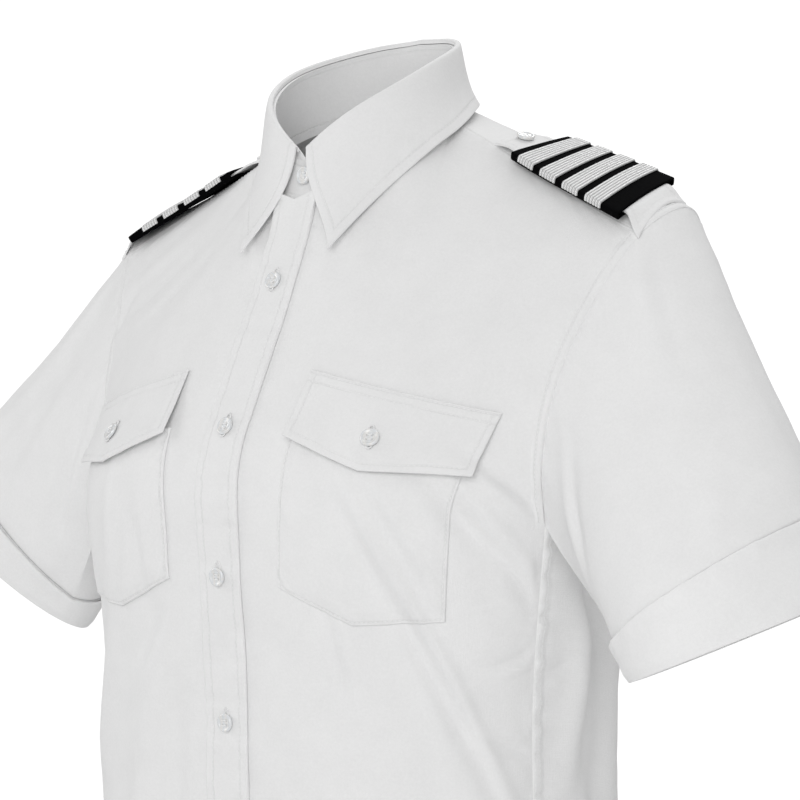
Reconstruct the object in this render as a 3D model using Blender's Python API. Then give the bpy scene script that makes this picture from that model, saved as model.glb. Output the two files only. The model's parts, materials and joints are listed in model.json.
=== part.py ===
"""A short-sleeved pilot shirt, buttoned up and filled out as if worn, with nobody in it.

Metres, +Z up. The front faces -Y and the wearer's left is +X. The origin is the middle of the
neck, at the height of the shoulder seams' neck ends. Every piece of cloth is a wall: a grid of
points worked out from the tables below, and its copy moved inwards by the thickness.
"""

from collections import namedtuple

import bmesh
import bpy
import numpy as np

# ---------------------------------------------------------------- sizes

CLOTH = 0.0013  # one wall of the body and sleeves
SEAM_GAP = 0.0003  # between pieces that meet edge to edge
LAY_GAP = 0.0005  # between a piece and what it lies on
POCKET_GAP = 0.0012  # the same under the pockets, where the chest curves most
BUTTON_GAP = 0.0008  # under the flat back of a button
SEAM_STEPS = 12  # columns along the shoulder seam, and across half of the back
NECK_STEPS = 8  # columns along half of the front neckline
LOW_STEPS = 10  # rows from the hem up to the underarm
HIGH_STEPS = 9  # rows from the underarm up to the shoulder
YOKE_STEPS = 10  # rows over the shoulder

NECK_CENTRE_Y = 0.008
STAND_BASE_RADIUS = 0.0636  # outer face of the collar stand at its seam
STAND_TOP_RADIUS = 0.0585
STAND_THICK = 0.0018
NECK_CLEAR = 0.0021  # from the stand's outer face to the edge of the body's cloth
LEAF_THICK = 0.0014
LEAF_SHIFT = 0.005  # how far the points of the leaf sit towards the wearer's left
STAND_LAP = 16.0  # degrees that each end of the stand reaches past the centre line
STAND_LAP_IN = 0.0026  # how far its right end lies inside its left one
STAND_BELOW = 0.004  # how far it reaches below the neck seam
STAND_SHORT = 0.0035  # how far it stops below the fold
STAND_FRONT_DROP = 0.006
YOKE_SEAM_TURN = 99.0  # degrees round the neck, from the front, to the yoke's front seam
NECKLINE_SHARE = 0.40  # share of the front's upper edge that the neckline takes
SOFTENING = 0.20  # how far along that edge its corner is rounded off, for the cloth below
FOLD_FADE = 0.15  # share of a panel over which folds die out towards its side

BAND_HALF = 0.0165  # half the width of the front band
BAND_THICK = 0.0014
UNDERLAP = 0.0019  # how far the right front lies below the left one
CUFF_THICK = 0.0018
POCKET_THICK = 0.0011
FLAP_THICK = 0.0014
STRAP_THICK = 0.0014
BOARD_THICK = 0.0013
BOARD_EDGE_THICK = 0.0016
STRIPE_THICK = 0.0010
BUTTON_RADIUS = 0.00575
BUTTON_THICK = 0.0022
BUTTON_SIDES = 14

# Centre line of the front and of the back, from the hem (0) past the underarm (1) to the top (2).
# pull_middle and pull_side say how full the row is near the centre and near the side, turn is the
# direction in which it ends, in degrees from +X, and dip is how steeply it falls there.
Row = namedtuple("Row", "level y z pull_middle pull_side turn dip")
FRONT_ROWS = (
    Row(0.00, -0.126, -0.712, 0.120, 0.070, 77, 0.00),
    Row(0.25, -0.126, -0.590, 0.118, 0.070, 77, 0.00),
    Row(0.50, -0.119, -0.465, 0.104, 0.058, 77, 0.00),
    Row(0.75, -0.122, -0.340, 0.104, 0.058, 77, 0.00),
    Row(1.00, -0.129, -0.222, 0.112, 0.066, 76, 0.00),
    Row(1.25, -0.113, -0.172, 0.108, 0.062, 64, 0.05),
    Row(1.50, -0.092, -0.128, 0.098, 0.058, 46, 0.12),
    Row(1.75, -0.073, -0.086, 0.080, 0.060, 24, 0.28),
    Row(2.00, -0.0565, -0.046, 0.050, 0.070, 0, 0.45),
)
BACK_ROWS = (
    Row(0.00, 0.126, -0.735, 0.130, 0.122, -103, 0.00),
    Row(0.25, 0.125, -0.605, 0.130, 0.122, -103, 0.00),
    Row(0.50, 0.118, -0.475, 0.126, 0.120, -103, 0.00),
    Row(0.75, 0.118, -0.352, 0.126, 0.120, -103, 0.00),
    Row(1.00, 0.124, -0.240, 0.138, 0.128, -103, 0.00),
    Row(1.25, 0.126, -0.200, 0.128, 0.066, -96, 0.00),
    Row(1.50, 0.125, -0.158, 0.118, 0.048, -66, 0.04),
    Row(1.75, 0.119, -0.112, 0.104, 0.050, -44, 0.14),
    Row(2.00, 0.107, -0.062, 0.090, 0.060, -28, 0.30),
)

# The side seam, which sits in front of the widest line, and the armhole from the underarm up the
# front, over the shoulder and down the back.
Point = namedtuple("Point", "place level x y z")
SIDE_SEAM = (
    Point("hem", 0.00, 0.186, -0.042, -0.655),
    Point("hip", 0.25, 0.182, -0.041, -0.560),
    Point("high_hip", 0.50, 0.172, -0.040, -0.455),
    Point("waist", 0.75, 0.168, -0.039, -0.350),
    Point("underarm", 1.00, 0.178, -0.041, -0.243),
)
ARMHOLE = (
    Point("underarm", 0.0, 0.178, -0.041, -0.243),
    Point("front_low", 1.0, 0.180, -0.047, -0.206),
    Point("front_mid", 2.0, 0.186, -0.041, -0.160),
    Point("front_high", 3.0, 0.197, -0.020, -0.112),
    Point("front_seam", 4.0, 0.213, 0.004, -0.073),
    Point("shoulder_tip", 5.0, 0.224, 0.033, -0.056),
    Point("back_shoulder", 6.0, 0.221, 0.059, -0.065),
    Point("back_seam", 7.0, 0.212, 0.076, -0.095),
    Point("back_mid", 8.0, 0.201, 0.073, -0.142),
    Point("back_low", 9.0, 0.195, 0.055, -0.184),
    Point("under_back", 10.0, 0.190, 0.016, -0.222),
    Point("underarm", 11.0, 0.178, -0.041, -0.243),
)
FRONT_SEAM_AT = 4.0
BACK_SEAM_AT = 7.0
TIP_AT = 5.0
UNDERARM_AT = 11.0

# Height of the neck seam and of the collar's fold, by degrees round the neck from the front.
Rim = namedtuple("Rim", "turn seam fold")
COLLAR_RIM = (
    Rim(0, -0.0460, -0.0160),
    Rim(30, -0.0340, 0.0070),
    Rim(60, -0.0160, 0.0260),
    Rim(90, -0.0010, 0.0430),
    Rim(120, 0.0120, 0.0550),
    Rim(150, 0.0205, 0.0630),
    Rim(180, 0.0240, 0.0660),
)

# Lower edge of the collar's leaf: its front point first, then back round the neck.
Leaf = namedtuple("Leaf", "share turn x y z")
LEAF_EDGE = (
    Leaf(0.00, 4, 0.0360, -0.0760, -0.0780),
    Leaf(0.12, 22, 0.0470, -0.0580, -0.0590),
    Leaf(0.28, 48, 0.0610, -0.0340, -0.0350),
    Leaf(0.43, 76, 0.0725, -0.0070, -0.0120),
    Leaf(0.55, 98, 0.0750, 0.0130, -0.0000),
    Leaf(0.66, 118, 0.0700, 0.0350, 0.0120),
    Leaf(0.80, 144, 0.0510, 0.0620, 0.0200),
    Leaf(1.00, 180, 0.0000, 0.0830, 0.0235),
)

# Rows of the yoke from its back seam (0) to its front seam (1): where each row starts, at the
# centre of the back or round the neck, and which way it leaves.
YokeRow = namedtuple("YokeRow", "level y z turn arm start_y start_z pull_neck end_y end_z pull_arm")
YOKE_ROWS = (
    YokeRow(0.00, 0.107, -0.062, 180, 7.00, 0.00, 0.00, 0.090, -0.43, -0.30, 0.060),
    YokeRow(0.22, 0.098, -0.030, 180, 6.50, 0.00, -0.05, 0.080, -0.36, -0.34, 0.060),
    YokeRow(0.42, 0.084, 0.010, 180, 6.05, -0.02, -0.10, 0.060, -0.24, -0.44, 0.070),
    YokeRow(0.50, 0.074, 0.024, 180, 5.85, -0.04, -0.22, 0.050, -0.20, -0.44, 0.070),
    YokeRow(0.67, 0.074, 0.024, 153, 5.30, -0.05, -0.42, 0.050, -0.13, -0.42, 0.070),
    YokeRow(0.84, 0.074, 0.024, 126, 4.70, -0.02, -0.50, 0.048, -0.10, -0.42, 0.065),
    YokeRow(1.00, 0.074, 0.024, 99, 4.00, 0.02, -0.50, 0.045, -0.08, -0.44, 0.060),
)

# The cuff's lower edge: an oval round its middle, with its outer, higher side and its front. The
# wearer's right sleeve (-1), built as its mirror, is turned up more at its outer side than the left (1).
CUFF_MIDDLE = {1: np.array([0.3075, -0.0297, -0.2979]), -1: np.array([0.3098, -0.0175, -0.2884])}
CUFF_OUTWARD = {1: np.array([0.0597, 0.0183, 0.0274]), -1: np.array([0.0721, 0.0183, 0.0373])}
CUFF_FORWARD = {1: np.array([0.0158, -0.0656, -0.0027]), -1: np.array([0.0158, -0.0420, 0.0239])}
CUFF_SHARE = 0.18  # of the sleeve's length, that the cuff covers
ARM_WAY = np.array([0.560, -0.160, -0.813])  # from the shoulder towards the elbow
# How the sleeve's top leaves the armhole, beside ARM_WAY: the lower arm's puffs out a little.
TOP_WAY = {1: np.array([-0.07, -0.05, 0.01]), -1: np.array([0.06, 0.01, 0.03])}
UNDER_WAY = np.array([0.20, 0.00, -0.05])  # the same for its underside
SLEEVE_PULL = 0.36
SLEEVE_STEPS = 9

# Pockets and flaps on the left front, seen from the front; the right ones mirror them.
Corner = namedtuple("Corner", "place x z")
POCKET = (
    Corner("inner_top", 0.0500, -0.188),
    Corner("outer_top", 0.1520, -0.208),
    Corner("inner_bottom", 0.0450, -0.280),
    Corner("outer_bottom", 0.1430, -0.297),
)
POCKET_POINT = 0.012  # how far its middle reaches below its corners
FLAP = (
    Corner("inner_top", 0.0510, -0.152),
    Corner("outer_top", 0.1640, -0.177),
    Corner("inner_bottom", 0.0490, -0.193),
    Corner("outer_bottom", 0.1550, -0.214),
)
FLAP_POINT = 0.008
FLAP_LIFT = 0.0065  # how far its lower edge stands off, over the pocket's mouth
POCKET_FULL = 0.0030  # how far the pocket's middle stands off

# Shoulder strap and slip-on board, along the strap from the armhole seam to its neck end.
STRAP_OUTER = np.array([0.2180, 0.0235])  # plan view: x, y
STRAP_INNER = np.array([0.1000, 0.0361])
STRAP_STIFF = 0.85  # how flat it and its board lie across, between its ends
STRAP_NUDGE = 0.004
STRAP_FROM = 0.0020  # its outer end, from the armhole seam
STRAP_RISE = 0.0120  # length over which it rises to pass over the board's lower side
STRAP_BUTTON_IN = 0.0070  # from its neck end
STRAP_HALF_OUTER = 0.0215
STRAP_HALF_INNER = 0.0190
STRAP_OVER = 0.0028  # height of the strap above the yoke, where the board passes under it
BOARD_FROM = 0.014  # along the strap
BOARD_TO = 0.100
BOARD_CROWN = 0.0016  # how far its long edges curl up
BOARD_ROUND = 0.16  # how far its long edges bulge, in columns
STRIPE_GAP = 0.0004
BOARD_HALF_OUTER = 0.0275
BOARD_HALF_INNER = 0.0255
STRIPES = 4
STRIPE_WIDTH = 0.0125
STRIPE_PITCH = 0.0180
STRIPE_FIRST = 0.0130  # from the board's outer end

BAND_BUTTONS = 7
BAND_BUTTON_TOP = -0.098
BAND_BUTTON_PITCH = 0.089

# The largest folds: place seen from the front or the back, the way each runs in degrees from +X,
# how long and wide it is, and how high it stands.
Fold = namedtuple("Fold", "place x z way length width height")
FRONT_FOLDS = (
    Fold("left_side_drag", 0.150, -0.400, 112, 0.110, 0.020, 0.0035),
    Fold("left_waist", 0.095, -0.470, 100, 0.140, 0.024, 0.0040),
    Fold("left_low", 0.055, -0.610, 86, 0.120, 0.026, 0.0035),
    Fold("right_under_pocket", -0.130, -0.365, 66, 0.075, 0.018, 0.0035),
    Fold("right_waist", -0.085, -0.450, 82, 0.130, 0.024, 0.0040),
    Fold("right_low", -0.120, -0.600, 94, 0.120, 0.026, 0.0035),
)
BACK_FOLDS = (
    Fold("left_blade", 0.105, -0.300, 96, 0.150, 0.026, 0.0045),
    Fold("left_small", 0.060, -0.480, 88, 0.140, 0.026, 0.0040),
    Fold("right_blade", -0.110, -0.320, 84, 0.150, 0.026, 0.0045),
    Fold("right_small", -0.050, -0.500, 93, 0.150, 0.028, 0.0040),
)

WHITE = (0.82, 0.83, 0.84, 1.0)
BLACK = (0.012, 0.012, 0.014, 1.0)
SILVER = (0.60, 0.61, 0.63, 1.0)
PEARL = (0.84, 0.85, 0.86, 1.0)


# ---------------------------------------------------------------- curves and grids

def through(table, at, names, key="level"):
    """Smooth values of the named columns of a table at the places `at` of its key column."""
    keys = np.array([getattr(row, key) for row in table], float)
    values = np.array([[getattr(row, name) for name in names.split()] for row in table], float)
    slopes = np.gradient(values, keys, axis=0)
    at = np.clip(np.asarray(at, float), keys[0], keys[-1])
    index = np.clip(np.searchsorted(keys, at, side="right") - 1, 0, len(keys) - 2)
    step = keys[index + 1] - keys[index]
    t = ((at - keys[index]) / step)[..., None]
    step = step[..., None]
    low, high = values[index], values[index + 1]
    return (
        low * (1 + 2 * t) * (1 - t) ** 2
        + high * (3 - 2 * t) * t**2
        + slopes[index] * step * t * (1 - t) ** 2
        + slopes[index + 1] * step * (t - 1) * t**2
    )


def bezier(start, lead, trail, end, t):
    """The curve from start to end that leaves towards lead and arrives from trail."""
    t = t[..., None]
    return (
        start * (1 - t) ** 3 + 3 * lead * t * (1 - t) ** 2 + 3 * trail * t**2 * (1 - t) + end * t**3
    )


def ease(t):
    """0 to 1, with a level start and end."""
    t = np.clip(t, 0, 1)
    return t * t * (3 - 2 * t)


def unit(vectors):
    return vectors / np.linalg.norm(vectors, axis=-1, keepdims=True)


def mirrored(points):
    """The other side of the wearer, with the columns turned round so that the faces still point out."""
    return (points * [-1, 1, 1])[:, ::-1]


def normals_of(points, closed=False):
    """Outward normals of a grid whose columns run to the left of its rows' upward way."""
    if closed:
        ring = np.concatenate([points[:, -1:], points, points[:, :1]], axis=1)
        across = (ring[:, 2:] - ring[:, :-2]) / 2
    else:
        across = np.gradient(points, axis=1)
    return unit(np.cross(across, np.gradient(points, axis=0)))


def folded(points, folds, facing, fade):
    """The points, moved out from the body's axis by each fold that lies on them, but not at seams."""
    out = unit(points * [1, 1.6, 0])
    moved = points.copy()
    for fold in folds:
        way = np.radians(fold.way)
        dx = points[..., 0] - fold.x
        dz = points[..., 2] - fold.z
        along = (dx * np.cos(way) + dz * np.sin(way)) / fold.length
        aside = (-dx * np.sin(way) + dz * np.cos(way)) / fold.width
        here = np.exp(-(along**2)) * np.exp(-(aside**2)) * np.cos(1.6 * aside)
        moved += out * (fold.height * here * fade * (points[..., 1] * facing > 0))[..., None]
    return moved


# ---------------------------------------------------------------- the body's surfaces

def around_neck(turn, radius):
    """Plan position on a circle round the neck, turned in degrees from the front."""
    turn = np.radians(turn)
    return radius * np.sin(turn), NECK_CENTRE_Y - radius * np.cos(turn)


def rim_height(turn, name):
    return through(COLLAR_RIM, turn, name, key="turn")[..., 0]


def neck_seam(turn):
    x, y = around_neck(turn, STAND_BASE_RADIUS + NECK_CLEAR)
    return np.stack([x, y, rim_height(turn, "seam")], axis=-1)


def armhole(at):
    return through(ARMHOLE, at, "x y z")


def body_edge(level, arm):
    """The outer edge of a front or back: its side seam up to level 1, then the armhole."""
    seam = through(SIDE_SEAM, np.minimum(level, 1), "x y z")
    return np.where((level > 1)[..., None], armhole(arm), seam)


def body_rows(table, edge, u, v):
    """Rows from the centre line to the edge, each leaving level and arriving in its own way."""
    y, z, middle, side, turn, dip = np.moveaxis(
        through(table, v, "y z pull_middle pull_side turn dip"), -1, 0
    )
    turn = np.radians(turn)
    none = np.zeros_like(y)
    start = np.stack([none, y, z], axis=-1)
    lead = start + np.stack([middle, none, none], axis=-1)
    way = unit(np.stack([np.cos(turn), np.sin(turn), -dip], axis=-1))
    return bezier(start, lead, edge - way * side[..., None], edge, u)


def yoke_surface(s, t):
    """The left half of the yoke: s from the neck to the armhole, t from back seam to front seam."""
    y, z, turn, arm, start_y, start_z, neck, end_y, end_z, sleeve = np.moveaxis(
        through(YOKE_ROWS, t, " ".join(YokeRow._fields[1:])), -1, 0
    )
    centre = np.stack([np.zeros_like(y), y, z], axis=-1)
    turn = np.minimum(turn, 180)
    start = np.where((t <= 0.5)[..., None], centre, neck_seam(turn))
    one = np.ones_like(y)
    leave = unit(np.stack([one, start_y, start_z], axis=-1)) * neck[..., None]
    arrive = unit(np.stack([one, end_y, end_z], axis=-1)) * sleeve[..., None]
    end = armhole(arm)
    return bezier(start, start + leave, end - arrive, end, s)


def front_top(u):
    """Upper edge of the left front: half the neckline, then the yoke's front seam."""
    turn = YOKE_SEAM_TURN * np.clip(u / NECKLINE_SHARE, 0, 1)
    s = np.clip((u - NECKLINE_SHARE) / (1 - NECKLINE_SHARE), 0, 1)
    seam = yoke_surface(s, np.ones_like(s))
    return np.where((u < NECKLINE_SHARE)[..., None], neck_seam(turn), seam)


def soft_front_top(u):
    """The same edge with its corner rounded off, for the cloth further down."""
    total = 0
    for shift in np.linspace(-SOFTENING, SOFTENING, 9):
        moved = u + shift
        past = np.where(moved > 1, 2 - moved, moved)
        point = front_top(np.abs(past)) * np.stack([np.sign(past), past * 0 + 1, past * 0 + 1], axis=-1)
        end = front_top(np.ones_like(u))
        total = total + np.where((moved > 1)[..., None], 2 * end - point, point)
    return total / 9


def front_surface(u, v, side=1):
    """A front: u from the centre to the side, v from the hem (0) past the underarm (1) to 2."""
    reach = np.abs(u)
    edge = body_edge(v, (v - 1) * FRONT_SEAM_AT)
    rows = body_rows(FRONT_ROWS, edge, reach, v)
    top = np.full_like(v, 2.0)
    last = body_rows(FRONT_ROWS, body_edge(top, top * 0 + FRONT_SEAM_AT), reach, top)
    high = np.clip(v - 1, 0, 1)[..., None]
    soft = soft_front_top(reach)
    rows = rows + (soft - last) * high**1.7 + (front_top(reach) - soft) * high**7
    one = np.ones_like(rows[..., 0])
    rows = rows * np.stack([np.where(u < 0, -side, side) * one, one, one], axis=-1)
    return folded(rows, FRONT_FOLDS, -1, ease((1 - reach) / FOLD_FADE))


def back_surface(u, v, side=1):
    """Half of the back: u from the centre to the side, v from the hem (0) past 1 to the yoke (2)."""
    edge = body_edge(v, UNDERARM_AT - (v - 1) * (UNDERARM_AT - BACK_SEAM_AT))
    rows = body_rows(BACK_ROWS, edge, u, v)
    top = np.full_like(v, 2.0)
    last = body_rows(BACK_ROWS, armhole(top * 0 + BACK_SEAM_AT), u, top)
    seam = yoke_surface(u, np.zeros_like(u))
    rows = rows + (seam - last) * (np.clip(v - 1.0, 0, 1) ** 2)[..., None]
    rows = rows * [side, 1, 1]
    return folded(rows, BACK_FOLDS, 1, ease((1 - u) / FOLD_FADE))


def shoulder_surface(s, t):
    """The yoke, and past its front seam (t over 1) the top of the left front."""
    u = NECKLINE_SHARE + s * (1 - NECKLINE_SHARE)
    front = front_surface(u, 2 - np.clip(t - 1, 0, 1))
    return np.where((t > 1)[..., None], front, yoke_surface(s, np.minimum(t, 1)))


def place_on(surface, axes, targets, guess):
    """The two parameters at which a surface passes a place, given on two of its three axes."""
    targets = np.asarray(targets, float)
    found = np.broadcast_to(np.asarray(guess, float), targets.shape).copy()
    nudge = 1e-4
    for _ in range(12):
        here = surface(found[..., 0], found[..., 1])[..., axes]
        du = (surface(found[..., 0] + nudge, found[..., 1])[..., axes] - here) / nudge
        dv = (surface(found[..., 0], found[..., 1] + nudge)[..., axes] - here) / nudge
        miss = targets - here
        area = du[..., 0] * dv[..., 1] - du[..., 1] * dv[..., 0]
        step_u = (miss[..., 0] * dv[..., 1] - miss[..., 1] * dv[..., 0]) / area
        step_v = (du[..., 0] * miss[..., 1] - du[..., 1] * miss[..., 0]) / area
        found += np.clip(np.stack([step_u, step_v], axis=-1), -0.1, 0.1)
    return found


def surface_normals(surface, at):
    nudge = 1e-3
    du = surface(at[..., 0] + nudge, at[..., 1]) - surface(at[..., 0] - nudge, at[..., 1])
    dv = surface(at[..., 0], at[..., 1] + nudge) - surface(at[..., 0], at[..., 1] - nudge)
    return unit(np.cross(du, dv))


# ---------------------------------------------------------------- meshes

def material(name, colour, roughness, metallic=0.0):
    made = bpy.data.materials.new(name)
    made.use_nodes = True
    shader = made.node_tree.nodes["Principled BSDF"]
    shader.inputs["Base Color"].default_value = colour
    shader.inputs["Roughness"].default_value = roughness
    shader.inputs["Metallic"].default_value = metallic
    return made


def add_object(name, points, faces, look):
    mesh = bpy.data.meshes.new(name)
    mesh.from_pydata(points.tolist(), [], faces.tolist())
    mesh.materials.append(look)
    mesh.shade_smooth()
    mesh.set_sharp_from_angle(angle=np.radians(50))
    made = bpy.data.objects.new(name, mesh)
    bpy.context.scene.collection.objects.link(made)
    return made


def grid_faces(rows, columns, closed=False):
    """Quads of a grid of points, numbered row by row."""
    i = np.arange(rows - 1)[:, None]
    j = np.arange(columns if closed else columns - 1)[None, :]
    k = (j + 1) % columns
    low, high = i * columns, (i + 1) * columns
    return np.stack([low + j, low + k, high + k, high + j], axis=-1).reshape(-1, 4)


def wall(name, outer, inner, look, closed=False):
    """One closed body between two grids: the outer face, the inner face and the edges."""
    rows, columns = outer.shape[:2]
    count = rows * columns
    faces = grid_faces(rows, columns, closed)
    number = np.arange(count).reshape(rows, columns)
    ends = [number[0], number[-1][::-1]]
    if not closed:
        border = np.concatenate([number[0], number[1:, -1], number[-1, -2::-1], number[-2:0:-1, 0]])
        loops = [np.append(border, border[0])]
    else:
        loops = [np.append(end, end[0]) for end in ends]
    sides = [faces, faces[:, ::-1] + count]
    for loop in loops:
        sides.append(np.stack([loop[1:], loop[:-1], loop[:-1] + count, loop[1:] + count], axis=-1))
    points = np.concatenate([outer.reshape(-1, 3), inner.reshape(-1, 3)])
    return add_object(name, points, np.concatenate(sides), look)


def shrink(points, first_row=0.0, last_row=0.0, first_column=0.0, last_column=0.0):
    """The grid with its named edges drawn in, which leaves the gap at a seam."""
    points = points.copy()
    points[0] += unit(points[1] - points[0]) * first_row
    points[-1] += unit(points[-2] - points[-1]) * last_row
    points[:, 0] += unit(points[:, 1] - points[:, 0]) * first_column
    points[:, -1] += unit(points[:, -2] - points[:, -1]) * last_column
    return points


def join_halves(name, outers, inners, look):
    """One wall made of two halves that share their points on the centre line."""
    outer = np.concatenate([half.reshape(-1, 3) for half in outers])
    inner = np.concatenate([half.reshape(-1, 3) for half in inners])
    rows, columns = outers[0].shape[:2]
    faces = np.concatenate([grid_faces(rows, columns), grid_faces(rows, columns) + rows * columns])
    _, first, where = np.unique(np.round(outer, 5), axis=0, return_index=True, return_inverse=True)
    outer, inner, faces = outer[first], inner[first], where.reshape(-1)[faces]
    on_centre = np.abs(outer[:, 0]) < 1e-6
    inner[on_centre, 0] = 0
    edges = np.concatenate([faces[:, [k, (k + 1) % 4]] for k in range(4)])
    _, index, uses = np.unique(np.sort(edges, axis=1), axis=0, return_index=True, return_counts=True)
    border = edges[index[uses == 1]]
    count = len(outer)
    rim = np.stack([border[:, 1], border[:, 0], border[:, 0] + count, border[:, 1] + count], axis=-1)
    faces = np.concatenate([faces, faces[:, ::-1] + count, rim])
    return add_object(name, np.concatenate([outer, inner]), faces, look)


# ---------------------------------------------------------------- pieces

def low_levels():
    return np.linspace(0, 1, LOW_STEPS + 1)


def high_levels():
    return 1 + np.linspace(0, 1, HIGH_STEPS + 1)


def body_levels():
    return np.concatenate([low_levels(), high_levels()[1:]])


def front_columns():
    neck = np.linspace(0, NECKLINE_SHARE, NECK_STEPS + 1)
    seam = NECKLINE_SHARE + np.linspace(0, 1, SEAM_STEPS + 1)[1:] * (1 - NECKLINE_SHARE)
    return np.concatenate([neck, seam])


def band_column(levels):
    """The u at which the front is half a band's width from the centre line, for each level."""
    low = np.zeros_like(levels)
    high = np.full_like(levels, 0.4)
    for _ in range(30):
        middle = (low + high) / 2
        wide = np.abs(front_surface(middle, levels)[:, 0]) > BAND_HALF
        low, high = np.where(wide, low, middle), np.where(wide, middle, high)
    return middle


def front_grid(side):
    """Points of a front, from its edge across the centre line to its side."""
    levels = body_levels()
    band = band_column(levels)[:, None]
    plain = front_columns()[None, 2:] + band * 0
    u = np.concatenate([-band, band * 0, band, plain], axis=1)
    return front_surface(u, levels[:, None] + u * 0, side)


def back_grid():
    levels = body_levels()
    u = np.linspace(0, 1, SEAM_STEPS + 1)[None, :] + levels[:, None] * 0
    v = levels[:, None] + u * 0
    left = back_surface(u, v)
    right = back_surface(u, v, -1)
    return np.concatenate([left[:, ::-1], right[:, 1:]], axis=1)


def yoke_levels():
    """Rows of the yoke: up the centre of the back to the collar, then round the neck."""
    below = 4
    back = np.linspace(0, 0.5, below + 1)
    return np.concatenate([back, np.linspace(0.5, 1, YOKE_STEPS - below + 1)[1:]])


def yoke_grid():
    """The left half of the yoke, its rows from the front seam over to the back seam."""
    s, t = np.meshgrid(np.linspace(0, 1, SEAM_STEPS + 1), yoke_levels()[::-1])
    return yoke_surface(s, t)


def armhole_normals():
    """Outward directions round the left armhole, halfway between the body's and the sleeve's."""
    front = normals_of(front_grid(1))[LOW_STEPS:, -1]
    yoke = normals_of(yoke_grid())[:, -1]
    back = normals_of(back_grid())[LOW_STEPS:, 0][::-1]
    seam = unit(yoke[-1] + back[0])
    body = np.concatenate([front[:-1], [unit(front[-1] + yoke[0])], yoke[1:-1], [seam], back[1:]])
    body[0] = unit(body[0] + body[-1])
    body = body[:-1]
    return unit(body + sleeve_normals(sleeve_grid(np.array([0.0, 0.1])))[0])


def make_body(look):
    """Fronts, back and yoke, which share their directions along each seam between them."""
    half = SEAM_GAP / 2
    arm = armhole_normals()
    front_count, yoke_count = HIGH_STEPS + 1, YOKE_STEPS + 1
    at_front = arm[:front_count]
    at_yoke = arm[front_count - 1 : front_count + yoke_count - 1]
    at_back = np.concatenate([arm[front_count + yoke_count - 2 :], arm[:1]])
    plain = front_grid(1)
    yoke = yoke_grid()
    back = back_grid()
    middle = back.shape[1] // 2
    left_back = normals_of(back)[:, : middle + 1][:, ::-1]
    seam = normals_of(plain)[: LOW_STEPS + 1, -1] + left_back[: LOW_STEPS + 1, -1]
    seam = unit(seam)
    seam[-1] = arm[0]
    shoulder = unit(normals_of(plain)[-1, -SEAM_STEPS - 1 :] + normals_of(yoke)[0])
    shoulder[-1] = at_front[-1]
    blade = unit(left_back[-1] + normals_of(yoke)[-1])
    blade[-1] = at_yoke[-1]
    flip = np.array([-1.0, 1.0, 1.0])

    for side, name in ((1, "front_left"), (-1, "front_right")):
        points = front_grid(side)
        turned = np.array([side, 1.0, 1.0])
        if side < 0:
            facing = -normals_of(points)
            points[:, :3] -= facing[:, :3] * UNDERLAP
            points[-1, :3] += unit(points[-2, :3] - points[-1, :3]) * NECK_CLEAR * 2
        points = shrink(points, last_row=half, last_column=half)
        normals = normals_of(points) * side
        normals[: LOW_STEPS + 1, -1] = seam * turned
        normals[-1, -SEAM_STEPS - 1 :] = shoulder * turned
        normals[LOW_STEPS:, -1] = at_front * turned
        inner = points - normals * CLOTH
        if side < 0:
            points, inner = points[:, ::-1], inner[:, ::-1]
        wall(name, points, inner, look)

    points = shrink(back, last_row=half, first_column=half, last_column=half)
    normals = normals_of(points)
    normals[-1] = np.concatenate([blade[::-1], blade[1:] * flip])
    for column, turned in ((0, 1), (-1, flip)):
        normals[: LOW_STEPS + 1, column] = seam * turned
        normals[LOW_STEPS:, column] = at_back[::-1] * turned
    wall("back", points, points - normals * CLOTH, look)

    points = shrink(yoke, first_row=half, last_row=half, last_column=half)
    normals = normals_of(points)
    normals[0], normals[-1], normals[:, -1] = shoulder, blade, at_yoke
    inner = points - normals * CLOTH
    join_halves("yoke", [points, mirrored(points)], [inner, mirrored(inner)], look)


def armhole_levels():
    """Where the pieces round the armhole have their points, from the underarm round to it again."""
    front = np.linspace(0, FRONT_SEAM_AT, HIGH_STEPS + 1)
    yoke = through(YOKE_ROWS, yoke_levels()[::-1], "arm")[:, 0]
    back = np.linspace(BACK_SEAM_AT, UNDERARM_AT, HIGH_STEPS + 1)
    return np.concatenate([front, yoke[1:-1], back[:-1]])


def sleeve_surface(levels, w, side):
    """A sleeve, built on the left: by level round the armhole, and w from there (0) to the hem (1)."""
    ring = armhole(levels)
    behind = (TIP_AT - levels) / (UNDERARM_AT - TIP_AT)
    turn = np.where(levels <= TIP_AT, (TIP_AT - levels) / TIP_AT, behind) * np.pi
    top = (1 + np.cos(turn))[..., None] / 2
    hem = (
        CUFF_MIDDLE[side]
        + CUFF_OUTWARD[side] * np.cos(turn)[..., None]
        + CUFF_FORWARD[side] * np.sin(turn)[..., None]
    )
    arm = unit(ARM_WAY)
    leave = unit(arm + top * TOP_WAY[side] + (1 - top) * UNDER_WAY)
    reach = np.linalg.norm(hem - ring, axis=-1, keepdims=True)
    lead = ring + leave * reach * SLEEVE_PULL
    trail = hem - arm * reach * SLEEVE_PULL
    return bezier(ring, lead, trail, hem, w)


def sleeve_grid(w, side=1):
    levels, w = np.meshgrid(armhole_levels(), w)
    return sleeve_surface(levels, w, side)


def make_sleeve(side, look):
    w = np.linspace(0, 1, SLEEVE_STEPS + 1)
    outer = shrink(sleeve_grid(w, side), first_row=SEAM_GAP, last_row=SEAM_GAP)
    normals = sleeve_normals(outer)
    normals[0] = armhole_normals()
    inner = outer - normals * CLOTH
    if side < 0:
        outer, inner = mirrored(outer), mirrored(inner)
    wall("sleeve_left" if side > 0 else "sleeve_right", outer[::-1], inner[::-1], look, closed=True)


def sleeve_normals(grid):
    return normals_of(grid[::-1], closed=True)[::-1]


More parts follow.
